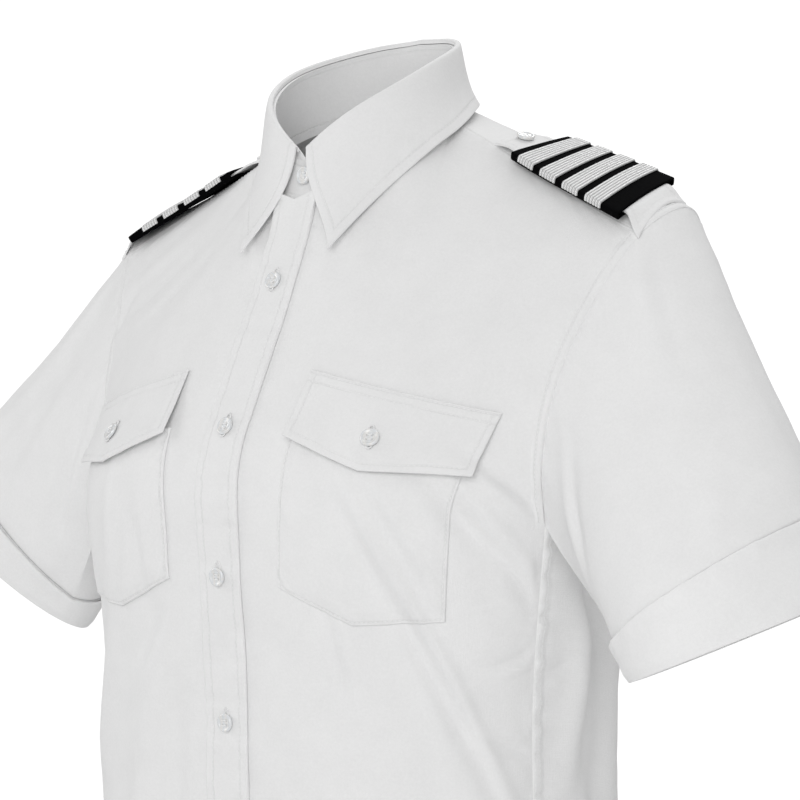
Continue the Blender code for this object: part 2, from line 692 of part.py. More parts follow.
def make_cuff(side, look):
    grid = sleeve_grid(1 - CUFF_SHARE * np.array([1.0, 0.5, 0.0]), side)
    normal = sleeve_normals(grid)
    inner = grid + normal * LAY_GAP
    outer = inner + normal * CUFF_THICK
    if side < 0:
        outer, inner = mirrored(outer), mirrored(inner)
    wall("cuff_left" if side > 0 else "cuff_right", outer[::-1], inner[::-1], look, closed=True)


def make_stand(look):
    """The band round the neck; its left end laps over its right end at the front."""
    turn = np.linspace(-STAND_LAP, 360 + STAND_LAP, 41)
    half = np.where(turn > 180, 360 - turn, turn)
    heights = np.linspace(0, 1, 4)
    outer = []
    for step in heights:
        radius = STAND_BASE_RADIUS + (STAND_TOP_RADIUS - STAND_BASE_RADIUS) * step
        radius = radius - STAND_LAP_IN * ease((turn - 330) / 25)
        x, y = around_neck(turn, radius)
        low = rim_height(np.abs(half), "seam") - STAND_BELOW
        high = rim_height(np.abs(half), "fold") - STAND_SHORT
        high = high - STAND_FRONT_DROP * ease((np.abs(turn - 180) - 172) / 20)
        outer.append(np.stack([x, y, low + (high - low) * step], axis=-1))
    outer = np.array(outer)
    inner = outer - normals_of(outer) * STAND_THICK
    wall("collar_stand", outer, inner, look)


def leaf_edge(share):
    return through(LEAF_EDGE, share, "turn x y z", key="share")


def make_leaf(look):
    """The leaf: up from the stand's top, over in a small roll, and down outside it."""
    share = np.concatenate([np.linspace(0, 0.3, 6), np.linspace(0.3, 1, 10)[1:]])
    share = np.concatenate([share, share[-2::-1]])
    side = np.where(np.arange(len(share)) < len(share) // 2, 1.0, -1.0)
    turn, x, y, z = np.moveaxis(leaf_edge(share), -1, 0)
    edge = np.stack([x, y, z], axis=-1)
    fold_x, fold_y = around_neck(turn, STAND_TOP_RADIUS)
    out = np.stack([np.sin(np.radians(turn)), -np.cos(np.radians(turn)), turn * 0], axis=-1)
    top = np.stack([fold_x, fold_y, rim_height(turn, "fold")], axis=-1)
    up = np.array([0, 0, 1.0])
    rows = [
        top - up * 0.0030 - out * 0.0002,
        top - up * 0.0010 + out * 0.0002,
        top + up * 0.0002 + out * 0.0018,
        top - up * 0.0009 + out * 0.0036,
    ]
    start = rows[-1]
    fall = np.linalg.norm(edge - start, axis=-1, keepdims=True)
    lead = start + (out * 0.22 - up) * fall * 0.35
    trail = edge - unit(edge - start + out * 0.3 * fall) * fall * 0.35
    for t in (0.25, 0.5, 0.75, 1.0):
        rows.append(bezier(start, lead, trail, edge, np.full(len(share), t)))
    outer = np.array(rows) * np.stack([side, side * 0 + 1, side * 0 + 1], axis=-1)
    fallen = np.array([0, 0, 0, 0, 0.25, 0.5, 0.75, 1.0])[:, None]
    outer[..., 0] += LEAF_SHIFT * fallen * np.clip(1 - share / 0.3, 0, 1) ** 2
    outer = outer[::-1]
    inner = outer - normals_of(outer) * LEAF_THICK
    wall("collar_leaf", outer, inner, look)


def panel_piece(name, corners, rows, columns, side, look, offset, thick, point, lift=0.0, full=0.0):
    """A piece that lies on a front, laid out between four corners seen from the front."""
    inner_top, outer_top, inner_low, outer_low = [np.array([c.x, c.z]) for c in corners]
    a = np.linspace(0, 1, columns)[None, :, None]
    b = np.linspace(0, 1, rows)[:, None, None]
    place = (1 - b) * ((1 - a) * inner_low + a * outer_low) + b * ((1 - a) * inner_top + a * outer_top)
    place = place - np.array([0, 1]) * point * (1 - b) * (1 - np.abs(2 * a - 1))

    at = place_on(front_surface, [0, 2], place, (0.5, 1.1))
    base = front_surface(at[..., 0], at[..., 1], side)
    normal = surface_normals(lambda u, v: front_surface(u, v, side), at) * side
    height = offset + lift * (1 - b) ** 1.5 + full * np.sin(np.pi * a) * np.sin(np.pi * b)
    inner = base + normal * height
    outer = inner + normal * thick
    if side < 0:
        outer, inner = outer[:, ::-1], inner[:, ::-1]
    wall(name, outer, inner, look)
    return outer


def button(name, centre, normal, look):
    """A turned disc with a raised rim, facing along the normal."""
    profile = ((0.0, 0.0), (0.96, 0.0), (1.0, 0.7), (0.86, 1.0), (0.62, 0.75), (0.0, 0.75))
    mesh = bpy.data.meshes.new(name)
    work = bmesh.new()
    points = [work.verts.new((r * BUTTON_RADIUS, 0, h * BUTTON_THICK)) for r, h in profile]
    edges = [work.edges.new(pair) for pair in zip(points[:-1], points[1:])]
    bmesh.ops.spin(
        work,
        geom=points + edges,
        cent=(0, 0, 0),
        axis=(0, 0, 1),
        angle=2 * np.pi,
        steps=BUTTON_SIDES,
        use_merge=True,
    )
    bmesh.ops.remove_doubles(work, verts=work.verts, dist=1e-5)
    bmesh.ops.recalc_face_normals(work, faces=work.faces)
    normal = unit(np.asarray(normal, float))
    side = unit(np.cross(normal, [0.0, 0.0, 1.0] if abs(normal[2]) < 0.9 else [0.0, 1.0, 0.0]))
    up = np.cross(normal, side)
    for vert in work.verts:
        x, y, z = vert.co
        vert.co = centre + side * x + up * y + normal * z
    work.to_mesh(mesh)
    work.free()
    mesh.materials.append(look)
    mesh.shade_smooth()
    mesh.set_sharp_from_angle(angle=np.radians(40))
    bpy.context.scene.collection.objects.link(bpy.data.objects.new(name, mesh))


def make_band(look, pearl):
    """The front band on the left front, and its buttons."""
    levels = body_levels()
    band = band_column(levels)[:, None]
    u = band * np.array([-1.0, -0.5, 0.0, 0.5, 1.0])
    v = levels[:, None] + u * 0
    base = front_surface(u, v)
    base[-1] = base[-2] + (base[-1] - base[-2]) * 0.96
    normal = normals_of(base)
    inner = base + normal * LAY_GAP
    outer = inner + normal * BAND_THICK
    wall("front_band", outer, inner, look)
    for number in range(BAND_BUTTONS):
        height = BAND_BUTTON_TOP - number * BAND_BUTTON_PITCH
        at = place_on(front_surface, [0, 2], np.array([0.0, height]), (0.001, 1.0))
        at = np.array([0.0, at[1]])
        centre = front_surface(at[0], at[1])
        normal = surface_normals(front_surface, np.array([0.01, at[1]])) * [0, 1, 1]
        lifted = centre + unit(normal) * (LAY_GAP * 2 + BAND_THICK)
        button(f"band_button_{number + 1}", lifted, normal, pearl)


def make_pockets(side, look, pearl):
    name = "left" if side > 0 else "right"
    bag = dict(offset=POCKET_GAP, thick=POCKET_THICK, point=POCKET_POINT, full=POCKET_FULL)
    panel_piece(f"pocket_{name}", POCKET, 8, 11, side, look, **bag)
    lid = dict(offset=2 * LAY_GAP, thick=FLAP_THICK, point=FLAP_POINT, lift=FLAP_LIFT)
    outer = panel_piece(f"flap_{name}", FLAP, 5, 9, side, look, **lid)
    middle = outer.shape[1] // 2
    centre = (outer[1, middle] + outer[2, middle]) / 2
    facing = unit(normals_of(outer)[1:3, middle].sum(axis=0))
    button(f"flap_button_{name}", centre + facing * BUTTON_GAP, facing, pearl)


def strap_grid(along, across, half_outer, half_inner):
    """Points of the yoke under the strap, along it from the armhole and across it from front to
    back, drawn out flatter across between its ends. Also which way they face."""
    way = STRAP_INNER - STRAP_OUTER
    length = np.linalg.norm(way)
    way = way / length
    aside = np.array([way[1], -way[0]])
    reach = across * (half_outer + (half_inner - half_outer) * along / length)

    def on_yoke(reach):
        place = STRAP_OUTER + way * along[..., None] + aside * reach[..., None]
        at = place_on(shoulder_surface, [0, 1], place, (0.6, 0.8))
        return shoulder_surface(at[..., 0], at[..., 1]), -surface_normals(shoulder_surface, at)

    (base, normal), (middle, facing) = on_yoke(reach), on_yoke(reach * 0)
    flat = middle + unit(on_yoke(reach * 0 + STRAP_NUDGE)[0] - middle) * reach[..., None]
    ends = ease((along - STRAP_FROM) / STRAP_RISE) * ease((length - along) / STRAP_RISE)
    stiff = STRAP_STIFF * ends[..., None]
    return base + (flat - base) * stiff, unit(normal + (facing - normal) * stiff)


def make_strap(side, look, pearl):
    """The strap, from the armhole seam over the shoulder to its buttoned neck end."""
    length = np.linalg.norm(STRAP_INNER - STRAP_OUTER)
    rising = np.linspace(STRAP_FROM, STRAP_RISE, 3)
    along = np.concatenate([rising, np.linspace(STRAP_RISE, length, 11)[1:]])
    across = np.linspace(1, -1, 8)
    along, across = np.meshgrid(along, across)
    base, normal = strap_grid(along, across, STRAP_HALF_OUTER, STRAP_HALF_INNER)
    rise = ease(along / STRAP_RISE) * ease((length + STRAP_RISE / 2 - along) / STRAP_RISE)
    height = LAY_GAP + (STRAP_OVER - LAY_GAP) * rise
    inner = base + normal * height[..., None]
    outer = inner + normal * STRAP_THICK
    name = "left" if side > 0 else "right"
    at = np.abs(along[0] - (length - STRAP_BUTTON_IN)).argmin()
    spot = (outer[3, at] + outer[4, at]) / 2
    facing = unit(normal[3, at] + normal[4, at])
    if side < 0:
        outer, inner = mirrored(outer), mirrored(inner)
        spot, facing = spot * [-1, 1, 1], facing * [-1, 1, 1]
    wall(f"strap_{name}", outer, inner, look)
    button(f"strap_button_{name}", spot + facing * BUTTON_GAP, facing, pearl)


def board_ring(along):
    """The board's two sides, below and above the strap, and its rounded front and back edges."""
    across = np.linspace(1, -1, 10)
    a, c = np.meshgrid(along, across, indexing="ij")
    base, normal = strap_grid(a, c, BOARD_HALF_OUTER, BOARD_HALF_INNER)
    crown = BOARD_CROWN * np.abs(c) ** 3
    low = base + normal * (LAY_GAP + crown / 2)[..., None]
    high = base + normal * (STRAP_OVER + STRAP_THICK + LAY_GAP + BOARD_THICK + crown / 3)[..., None]
    middle = (low + high) / 2
    front = middle[:, -1:] + (middle[:, -1:] - middle[:, -2:-1]) * BOARD_ROUND
    back = middle[:, :1] + (middle[:, :1] - middle[:, 1:2]) * BOARD_ROUND
    forth = unit(front - middle[:, -2:-1])
    rear = unit(back - middle[:, 1:2])
    return low, high, normal, front, back, forth, rear


def make_board(side, cloth, braid):
    name = "left" if side > 0 else "right"
    along = np.linspace(BOARD_TO, BOARD_FROM, 8)
    low, high, normal, front, back, forth, rear = board_ring(along)
    outer = np.concatenate([back, high, front, low[:, ::-1]], axis=1)
    low_in = low + normal * BOARD_THICK
    high_in = high - normal * BOARD_THICK
    front_in = front - forth * BOARD_EDGE_THICK
    back_in = back - rear * BOARD_EDGE_THICK
    inner = np.concatenate([back_in, high_in, front_in, low_in[:, ::-1]], axis=1)
    if side < 0:
        outer, inner = mirrored(outer), mirrored(inner)
    wall(f"board_{name}", outer, inner, cloth, closed=True)
    for number in range(STRIPES):
        start = BOARD_FROM + STRIPE_FIRST + number * STRIPE_PITCH
        make_stripe(f"stripe_{name}_{number + 1}", side, start, braid)


def make_stripe(name, side, start, braid):
    """One braid stripe, over the board and round both of its edges."""
    along = np.linspace(start + STRIPE_WIDTH, start, 3)
    low, high, normal, front, back, forth, rear = board_ring(along)

    def lifted(by):
        return np.concatenate([back + rear * by, high + normal * by, front + forth * by], axis=1)

    inner, outer = lifted(STRIPE_GAP), lifted(STRIPE_GAP + STRIPE_THICK)
    if side < 0:
        outer, inner = mirrored(outer), mirrored(inner)
    wall(name, outer, inner, braid)


def make_stand_button(pearl):
    turn = 3.0
    height = (rim_height(np.array(0.0), "seam") + rim_height(np.array(0.0), "fold")) / 2
    x, y = around_neck(turn, (STAND_BASE_RADIUS + STAND_TOP_RADIUS) / 2 + LAY_GAP)
    button("stand_button", np.array([x, y, height]), np.array([0.0, -1.0, 0.1]), pearl)


def main():
    for old in list(bpy.data.objects):
        bpy.data.objects.remove(old, do_unlink=True)
    white = material("white_poplin", WHITE, 0.85)
    black = material("black_cloth", BLACK, 0.9)
    silver = material("silver_braid", SILVER, 0.45, 0.3)
    pearl = material("pearl_button", PEARL, 0.25)
    make_body(white)
    make_band(white, pearl)
    make_stand(white)
    make_leaf(white)
    make_stand_button(pearl)
    for side in (1, -1):
        make_sleeve(side, white)
        make_cuff(side, white)
        make_pockets(side, white, pearl)
        make_strap(side, white, pearl)
        make_board(side, black, silver)


main()
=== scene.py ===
"""The looks of a short-sleeved pilot shirt: cloth, stitching, buttons, boards and braid.

Metres, +Z up. The front faces -Y and the wearer's left is +X. Each piece of cloth is a surface of
two parameters, worked out from the tables below, with its creases, seams and weave.
"""

import json
from collections import namedtuple

import bpy
import numpy as np
from mathutils import Matrix

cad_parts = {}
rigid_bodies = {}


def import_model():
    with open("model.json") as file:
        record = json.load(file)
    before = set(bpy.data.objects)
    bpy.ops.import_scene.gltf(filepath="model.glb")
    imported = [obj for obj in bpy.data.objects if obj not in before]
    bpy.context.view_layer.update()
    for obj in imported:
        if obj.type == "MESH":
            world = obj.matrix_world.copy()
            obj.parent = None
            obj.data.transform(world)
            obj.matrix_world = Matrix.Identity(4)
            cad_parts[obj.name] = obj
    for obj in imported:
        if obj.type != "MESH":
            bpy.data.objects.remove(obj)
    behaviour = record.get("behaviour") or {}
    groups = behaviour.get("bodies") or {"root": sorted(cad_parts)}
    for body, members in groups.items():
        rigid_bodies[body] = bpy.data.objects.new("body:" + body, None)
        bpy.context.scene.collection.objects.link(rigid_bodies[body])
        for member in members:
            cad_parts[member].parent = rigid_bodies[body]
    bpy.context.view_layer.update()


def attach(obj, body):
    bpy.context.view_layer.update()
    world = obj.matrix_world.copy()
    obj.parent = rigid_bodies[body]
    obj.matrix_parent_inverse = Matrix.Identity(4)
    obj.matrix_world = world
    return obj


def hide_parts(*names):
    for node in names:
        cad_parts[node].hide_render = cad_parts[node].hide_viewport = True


bl_info = {
    "name": "Pilot shirt",
    "version": (1, 0, 0),
    "blender": (4, 5, 0),
    "location": "View3D > Sidebar > Pilot shirt",
    "description": "Cloth, stitching, buttons and braid of a short-sleeved pilot shirt",
    "category": "Add Mesh",
}

for old in list(bpy.data.objects):
    bpy.data.objects.remove(old, do_unlink=True)
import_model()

# ---------------------------------------------------------------- sizes of the cut

CLOTH = 0.0013  # one wall of the body and sleeves
LAY_GAP = 0.0005
POCKET_GAP = 0.0012
BUTTON_GAP = 0.0008
NECK_CENTRE_Y = 0.008
STAND_BASE_RADIUS = 0.0636
STAND_TOP_RADIUS = 0.0585
STAND_THICK = 0.0018
STAND_LAP = 16.0  # degrees that each end of the stand reaches past the centre line
STAND_LAP_IN = 0.0026
STAND_BELOW = 0.004
STAND_SHORT = 0.0035
STAND_FRONT_DROP = 0.006
NECK_CLEAR = 0.0021
LEAF_THICK = 0.0014
LEAF_SHIFT = 0.005
YOKE_SEAM_TURN = 99.0
NECKLINE_SHARE = 0.40
SOFTENING = 0.20
FOLD_FADE = 0.15
BAND_HALF = 0.0165
BAND_THICK = 0.0014
UNDERLAP = 0.0019
CUFF_THICK = 0.0018
POCKET_THICK = 0.0011
FLAP_THICK = 0.0014
STRAP_THICK = 0.0014
BOARD_THICK = 0.0013
STRIPE_THICK = 0.0010
BAND_BUTTONS = 7
BAND_BUTTON_TOP = -0.098
BAND_BUTTON_PITCH = 0.089
BUTTON_RADIUS = 0.00575
BUTTON_THICK = 0.0022

# Centre line of the front and of the back, from the hem (0) past the underarm (1) to the top (2).
# pull_middle and pull_side say how full the row is near the centre and near the side, turn is the
# direction in which it ends, in degrees from +X, and dip is how steeply it falls there.
Row = namedtuple("Row", "level y z pull_middle pull_side turn dip")
FRONT_ROWS = (
    Row(0.00, -0.126, -0.712, 0.120, 0.070, 77, 0.00),
    Row(0.25, -0.126, -0.590, 0.118, 0.070, 77, 0.00),
    Row(0.50, -0.119, -0.465, 0.104, 0.058, 77, 0.00),
    Row(0.75, -0.122, -0.340, 0.104, 0.058, 77, 0.00),
    Row(1.00, -0.129, -0.222, 0.112, 0.066, 76, 0.00),
    Row(1.25, -0.113, -0.172, 0.108, 0.062, 64, 0.05),
    Row(1.50, -0.092, -0.128, 0.098, 0.058, 46, 0.12),
    Row(1.75, -0.073, -0.086, 0.080, 0.060, 24, 0.28),
    Row(2.00, -0.0565, -0.046, 0.050, 0.070, 0, 0.45),
)
BACK_ROWS = (
    Row(0.00, 0.126, -0.735, 0.130, 0.122, -103, 0.00),
    Row(0.25, 0.125, -0.605, 0.130, 0.122, -103, 0.00),
    Row(0.50, 0.118, -0.475, 0.126, 0.120, -103, 0.00),
    Row(0.75, 0.118, -0.352, 0.126, 0.120, -103, 0.00),
    Row(1.00, 0.124, -0.240, 0.138, 0.128, -103, 0.00),
    Row(1.25, 0.126, -0.200, 0.128, 0.066, -96, 0.00),
    Row(1.50, 0.125, -0.158, 0.118, 0.048, -66, 0.04),
    Row(1.75, 0.119, -0.112, 0.104, 0.050, -44, 0.14),
    Row(2.00, 0.107, -0.062, 0.090, 0.060, -28, 0.30),
)

# The side seam, which sits in front of the widest line, and the armhole from the underarm up the
# front, over the shoulder and down the back.
Point = namedtuple("Point", "place level x y z")
SIDE_SEAM = (
    Point("hem", 0.00, 0.186, -0.042, -0.655),
    Point("hip", 0.25, 0.182, -0.041, -0.560),
    Point("high_hip", 0.50, 0.172, -0.040, -0.455),
    Point("waist", 0.75, 0.168, -0.039, -0.350),
    Point("underarm", 1.00, 0.178, -0.041, -0.243),
)
ARMHOLE = (
    Point("underarm", 0.0, 0.178, -0.041, -0.243),
    Point("front_low", 1.0, 0.180, -0.047, -0.206),
    Point("front_mid", 2.0, 0.186, -0.041, -0.160),
    Point("front_high", 3.0, 0.197, -0.020, -0.112),
    Point("front_seam", 4.0, 0.213, 0.004, -0.073),
    Point("shoulder_tip", 5.0, 0.224, 0.033, -0.056),
    Point("back_shoulder", 6.0, 0.221, 0.059, -0.065),
    Point("back_seam", 7.0, 0.212, 0.076, -0.095),
    Point("back_mid", 8.0, 0.201, 0.073, -0.142),
    Point("back_low", 9.0, 0.195, 0.055, -0.184),
    Point("under_back", 10.0, 0.190, 0.016, -0.222),
    Point("underarm", 11.0, 0.178, -0.041, -0.243),
)
FRONT_SEAM_AT = 4.0
BACK_SEAM_AT = 7.0
TIP_AT = 5.0
UNDERARM_AT = 11.0

# Height of the neck seam and of the collar's fold, by degrees round the neck from the front.
Rim = namedtuple("Rim", "turn seam fold")
COLLAR_RIM = (
    Rim(0, -0.0460, -0.0160),
    Rim(30, -0.0340, 0.0070),
    Rim(60, -0.0160, 0.0260),
    Rim(90, -0.0010, 0.0430),
    Rim(120, 0.0120, 0.0550),
    Rim(150, 0.0205, 0.0630),
    Rim(180, 0.0240, 0.0660),
)

# Lower edge of the collar's leaf: its front point first, then back round the neck.
Leaf = namedtuple("Leaf", "share turn x y z")
LEAF_EDGE = (
    Leaf(0.00, 4, 0.0360, -0.0760, -0.0780),
    Leaf(0.12, 22, 0.0470, -0.0580, -0.0590),
    Leaf(0.28, 48, 0.0610, -0.0340, -0.0350),
    Leaf(0.43, 76, 0.0725, -0.0070, -0.0120),
    Leaf(0.55, 98, 0.0750, 0.0130, -0.0000),
    Leaf(0.66, 118, 0.0700, 0.0350, 0.0120),
    Leaf(0.80, 144, 0.0510, 0.0620, 0.0200),
    Leaf(1.00, 180, 0.0000, 0.0830, 0.0235),
)

# Rows of the yoke from its back seam (0) to its front seam (1): where each row starts, at the
# centre of the back or round the neck, and which way it leaves.
YokeRow = namedtuple("YokeRow", "level y z turn arm start_y start_z pull_neck end_y end_z pull_arm")
YOKE_ROWS = (
    YokeRow(0.00, 0.107, -0.062, 180, 7.00, 0.00, 0.00, 0.090, -0.43, -0.30, 0.060),
    YokeRow(0.22, 0.098, -0.030, 180, 6.50, 0.00, -0.05, 0.080, -0.36, -0.34, 0.060),
    YokeRow(0.42, 0.084, 0.010, 180, 6.05, -0.02, -0.10, 0.060, -0.24, -0.44, 0.070),
    YokeRow(0.50, 0.074, 0.024, 180, 5.85, -0.04, -0.22, 0.050, -0.20, -0.44, 0.070),
    YokeRow(0.67, 0.074, 0.024, 153, 5.30, -0.05, -0.42, 0.050, -0.13, -0.42, 0.070),
    YokeRow(0.84, 0.074, 0.024, 126, 4.70, -0.02, -0.50, 0.048, -0.10, -0.42, 0.065),
    YokeRow(1.00, 0.074, 0.024, 99, 4.00, 0.02, -0.50, 0.045, -0.08, -0.44, 0.060),
)

# The cuff's lower edge: an oval round its middle, with its outer, higher side and its front. The
# wearer's right sleeve (-1), built as its mirror, is turned up more at its outer side than the left (1).
CUFF_MIDDLE = {1: np.array([0.3075, -0.0297, -0.2979]), -1: np.array([0.3098, -0.0175, -0.2884])}
CUFF_OUTWARD = {1: np.array([0.0597, 0.0183, 0.0274]), -1: np.array([0.0721, 0.0183, 0.0373])}
CUFF_FORWARD = {1: np.array([0.0158, -0.0656, -0.0027]), -1: np.array([0.0158, -0.0420, 0.0239])}
CUFF_SHARE = 0.18  # of the sleeve's length, that the cuff covers
ARM_WAY = np.array([0.560, -0.160, -0.813])  # from the shoulder towards the elbow
# How the sleeve's top leaves the armhole, beside ARM_WAY: the right one stands out further.
TOP_WAY = {1: np.array([-0.07, -0.05, 0.01]), -1: np.array([0.06, 0.01, 0.03])}
UNDER_WAY = np.array([0.20, 0.00, -0.05])  # the same for its underside
SLEEVE_PULL = 0.36

# Pockets and flaps on the left front, seen from the front; the right ones mirror them.
Corner = namedtuple("Corner", "place x z")
POCKET = (
    Corner("inner_top", 0.0500, -0.188),
    Corner("outer_top", 0.1520, -0.208),
    Corner("inner_bottom", 0.0450, -0.280),
    Corner("outer_bottom", 0.1430, -0.297),
)
POCKET_POINT = 0.012  # how far its middle reaches below its corners
FLAP = (
    Corner("inner_top", 0.0510, -0.152),
    Corner("outer_top", 0.1640, -0.177),
    Corner("inner_bottom", 0.0490, -0.193),
    Corner("outer_bottom", 0.1550, -0.214),
)
FLAP_POINT = 0.008
FLAP_LIFT = 0.0065  # how far its lower edge stands off, over the pocket's mouth
POCKET_FULL = 0.0030  # how far the pocket's middle stands off

# Shoulder strap and slip-on board, along the strap from the armhole seam to its neck end.
STRAP_OUTER = np.array([0.2180, 0.0235])  # plan view: x, y
STRAP_INNER = np.array([0.1000, 0.0361])
STRAP_STIFF = 0.85  # how flat it and its board lie across, between its ends
STRAP_NUDGE = 0.004
STRAP_FROM = 0.0020  # its outer end, from the armhole seam
STRAP_RISE = 0.0120  # length over which it rises to pass over the board's lower side
STRAP_BUTTON_IN = 0.0070  # from its neck end
STRAP_HALF_OUTER = 0.0215
STRAP_HALF_INNER = 0.0190
STRAP_OVER = 0.0028  # height of the strap above the yoke, where the board passes under it
BOARD_FROM = 0.014  # along the strap
BOARD_TO = 0.100
BOARD_CROWN = 0.0016  # how far its long edges curl up
BOARD_ROUND = 0.16  # how far its long edges bulge, in columns
STRIPE_GAP = 0.0004
BOARD_HALF_OUTER = 0.0275
BOARD_HALF_INNER = 0.0255
STRIPES = 4
STRIPE_WIDTH = 0.0125
STRIPE_PITCH = 0.0180
STRIPE_FIRST = 0.0130  # from the board's outer end

# The largest folds: place seen from the front or the back, the way each runs in degrees from +X,
# how long and wide it is, and how high it stands.
Fold = namedtuple("Fold", "place x z way length width height")
FRONT_FOLDS = (
    Fold("left_side_drag", 0.150, -0.400, 112, 0.110, 0.020, 0.0035),
    Fold("left_waist", 0.095, -0.470, 100, 0.140, 0.024, 0.0040),
    Fold("left_low", 0.055, -0.610, 86, 0.120, 0.026, 0.0035),
    Fold("right_under_pocket", -0.130, -0.365, 66, 0.075, 0.018, 0.0035),
    Fold("right_waist", -0.085, -0.450, 82, 0.130, 0.024, 0.0040),
    Fold("right_low", -0.120, -0.600, 94, 0.120, 0.026, 0.0035),
)
BACK_FOLDS = (
    Fold("left_blade", 0.105, -0.300, 96, 0.150, 0.026, 0.0045),
    Fold("left_small", 0.060, -0.480, 88, 0.140, 0.026, 0.0040),
    Fold("right_blade", -0.110, -0.320, 84, 0.150, 0.026, 0.0045),
    Fold("right_small", -0.050, -0.500, 93, 0.150, 0.028, 0.0040),
)

# Creases: place along and across the cloth, the way each runs in degrees, how far it bends, how long
# and wide it is, how high it stands (a trough is negative) and how much lip it raises beside it.
Crease = namedtuple("Crease", "place at z way bend length width height lip")
CREASE_FADE = 0.05
ROUND_RADIUS = 0.150  # a crease's place round the body is an angle from the front times this
FRONT_CREASES = (
    Crease("left_strap_drag", 0.178, -0.094, 62, 0.004, 0.034, 0.0070, -0.0030, 0.6),
    Crease("left_chest_soft", 0.120, -0.120, 100, 0.000, 0.044, 0.0140, -0.0018, 0.3),
    Crease("left_leaf_soft", 0.058, -0.108, 70, 0.003, 0.030, 0.0100, 0.0012, 0.2),
    Crease("right_drag_high", -0.166, -0.084, 33, 0.003, 0.038, 0.0056, 0.0026, 0.7),
    Crease("right_drag_middle", -0.147, -0.098, 36, 0.002, 0.042, 0.0052, -0.0021, 0.5),
    Crease("right_drag_low", -0.118, -0.096, 38, 0.002, 0.044, 0.0056, 0.0022, 0.6),
    Crease("right_armhole_hollow", -0.188, -0.118, 62, 0.003, 0.022, 0.0075, -0.0032, 0.5),
    Crease("right_leaf_soft", -0.075, -0.088, 60, 0.000, 0.034, 0.0090, 0.0010, 0.2),
)
FRONT_ROUND_CREASES = (
    Crease("left_pocket_long", 0.143, -0.322, 115.6, 0.003, 0.092, 0.0056, -0.0042, 0.9),
    Crease("left_pocket_short", 0.127, -0.254, 115.5, 0.002, 0.042, 0.0046, -0.0027, 0.8),
    Crease("left_pocket_inner", 0.104, -0.245, 112, -0.002, 0.038, 0.0060, -0.0020, 0.6),
    Crease("left_pocket_foot", 0.092, -0.318, 105, 0.001, 0.034, 0.0048, -0.0024, 0.6),
    Crease("left_flap_hollow", 0.156, -0.236, 123, 0.002, 0.028, 0.0085, -0.0058, 0.5),
    Crease("left_underarm_ridge", 0.176, -0.223, 139, 0.000, 0.020, 0.0052, 0.0044, 0.7),
    Crease("left_underarm_low", 0.180, -0.262, 128, 0.003, 0.030, 0.0060, -0.0036, 0.6),
    Crease("left_seam_pull_1", 0.190, -0.321, 18, 0.001, 0.015, 0.0036, -0.0022, 0.7),
    Crease("left_seam_pull_2", 0.188, -0.372, 160, 0.001, 0.016, 0.0040, -0.0020, 0.7),
    Crease("left_hip_soft", 0.150, -0.450, 98, 0.004, 0.075, 0.0100, -0.0042, 0.6),
    Crease("left_hip_side", 0.185, -0.520, 82, 0.003, 0.060, 0.0100, 0.0026, 0.4),
    Crease("left_front_low", 0.070, -0.560, 92, 0.004, 0.080, 0.0110, -0.0024, 0.5),
    Crease("left_front_high", 0.048, -0.400, 84, 0.003, 0.060, 0.0120, -0.0012, 0.4),
    Crease("right_pocket_ridge", -0.104, -0.250, 84, 0.002, 0.038, 0.0060, 0.0020, 0.6),
    Crease("right_pocket_dip", -0.080, -0.262, 96, 0.002, 0.034, 0.0070, -0.0018, 0.5),
    Crease("right_below_pocket", -0.082, -0.318, 52, 0.002, 0.030, 0.0090, -0.0034, 0.5),
    Crease("right_side_long", -0.150, -0.352, 70, 0.004, 0.080, 0.0080, -0.0022, 0.6),
    Crease("right_underarm_ridge", -0.176, -0.226, 44, 0.000, 0.022, 0.0060, 0.0028, 0.6),
    Crease("right_underarm_low", -0.172, -0.262, 55, 0.003, 0.030, 0.0075, -0.0024, 0.5),
    Crease("right_front_long", -0.060, -0.420, 80, 0.004, 0.080, 0.0120, -0.0022, 0.5),
    Crease("right_hip_soft", -0.140, -0.520, 96, 0.004, 0.075, 0.0120, -0.0026, 0.5),
    Crease("right_seam_pull_1", -0.190, -0.345, 165, 0.001, 0.014, 0.0040, -0.0013, 0.6),
    Crease("right_seam_pull_2", -0.189, -0.415, 15, 0.001, 0.012, 0.0035, -0.0012, 0.6),
    Crease("right_front_low", -0.095, -0.610, 88, 0.003, 0.060, 0.0100, 0.0022, 0.4),
)
BACK_CREASES = (
    Crease("left_blade_soft", 0.130, -0.150, 105, 0.004, 0.050, 0.0120, -0.0024, 0.5),
    Crease("right_blade_soft", -0.122, -0.160, 72, 0.004, 0.055, 0.0120, -0.0024, 0.5),
    Crease("left_armhole_drag", 0.165, -0.135, 128, 0.003, 0.032, 0.0080, 0.0026, 0.5),
    Crease("right_armhole_drag", -0.168, -0.140, 52, 0.003, 0.034, 0.0080, 0.0026, 0.5),
    Crease("left_middle", 0.045, -0.300, 96, 0.004, 0.090, 0.0130, -0.0028, 0.5),
    Crease("right_middle", -0.060, -0.330, 84, 0.004, 0.080, 0.0120, -0.0026, 0.5),
    Crease("waist_left", 0.080, -0.430, 30, 0.004, 0.045, 0.0080, -0.0022, 0.6),
    Crease("waist_right", -0.070, -0.450, 152, 0.003, 0.040, 0.0080, -0.0022, 0.6),
    Crease("waist_middle", 0.010, -0.400, 8, 0.003, 0.040, 0.0070, -0.0016, 0.6),
    Crease("low_left", 0.100, -0.590, 88, 0.004, 0.080, 0.0130, -0.0028, 0.5),
    Crease("low_right", -0.115, -0.600, 95, 0.004, 0.075, 0.0120, -0.0028, 0.5),
    Crease("low_middle", -0.010, -0.620, 91, 0.003, 0.070, 0.0120, 0.0022, 0.4),
)
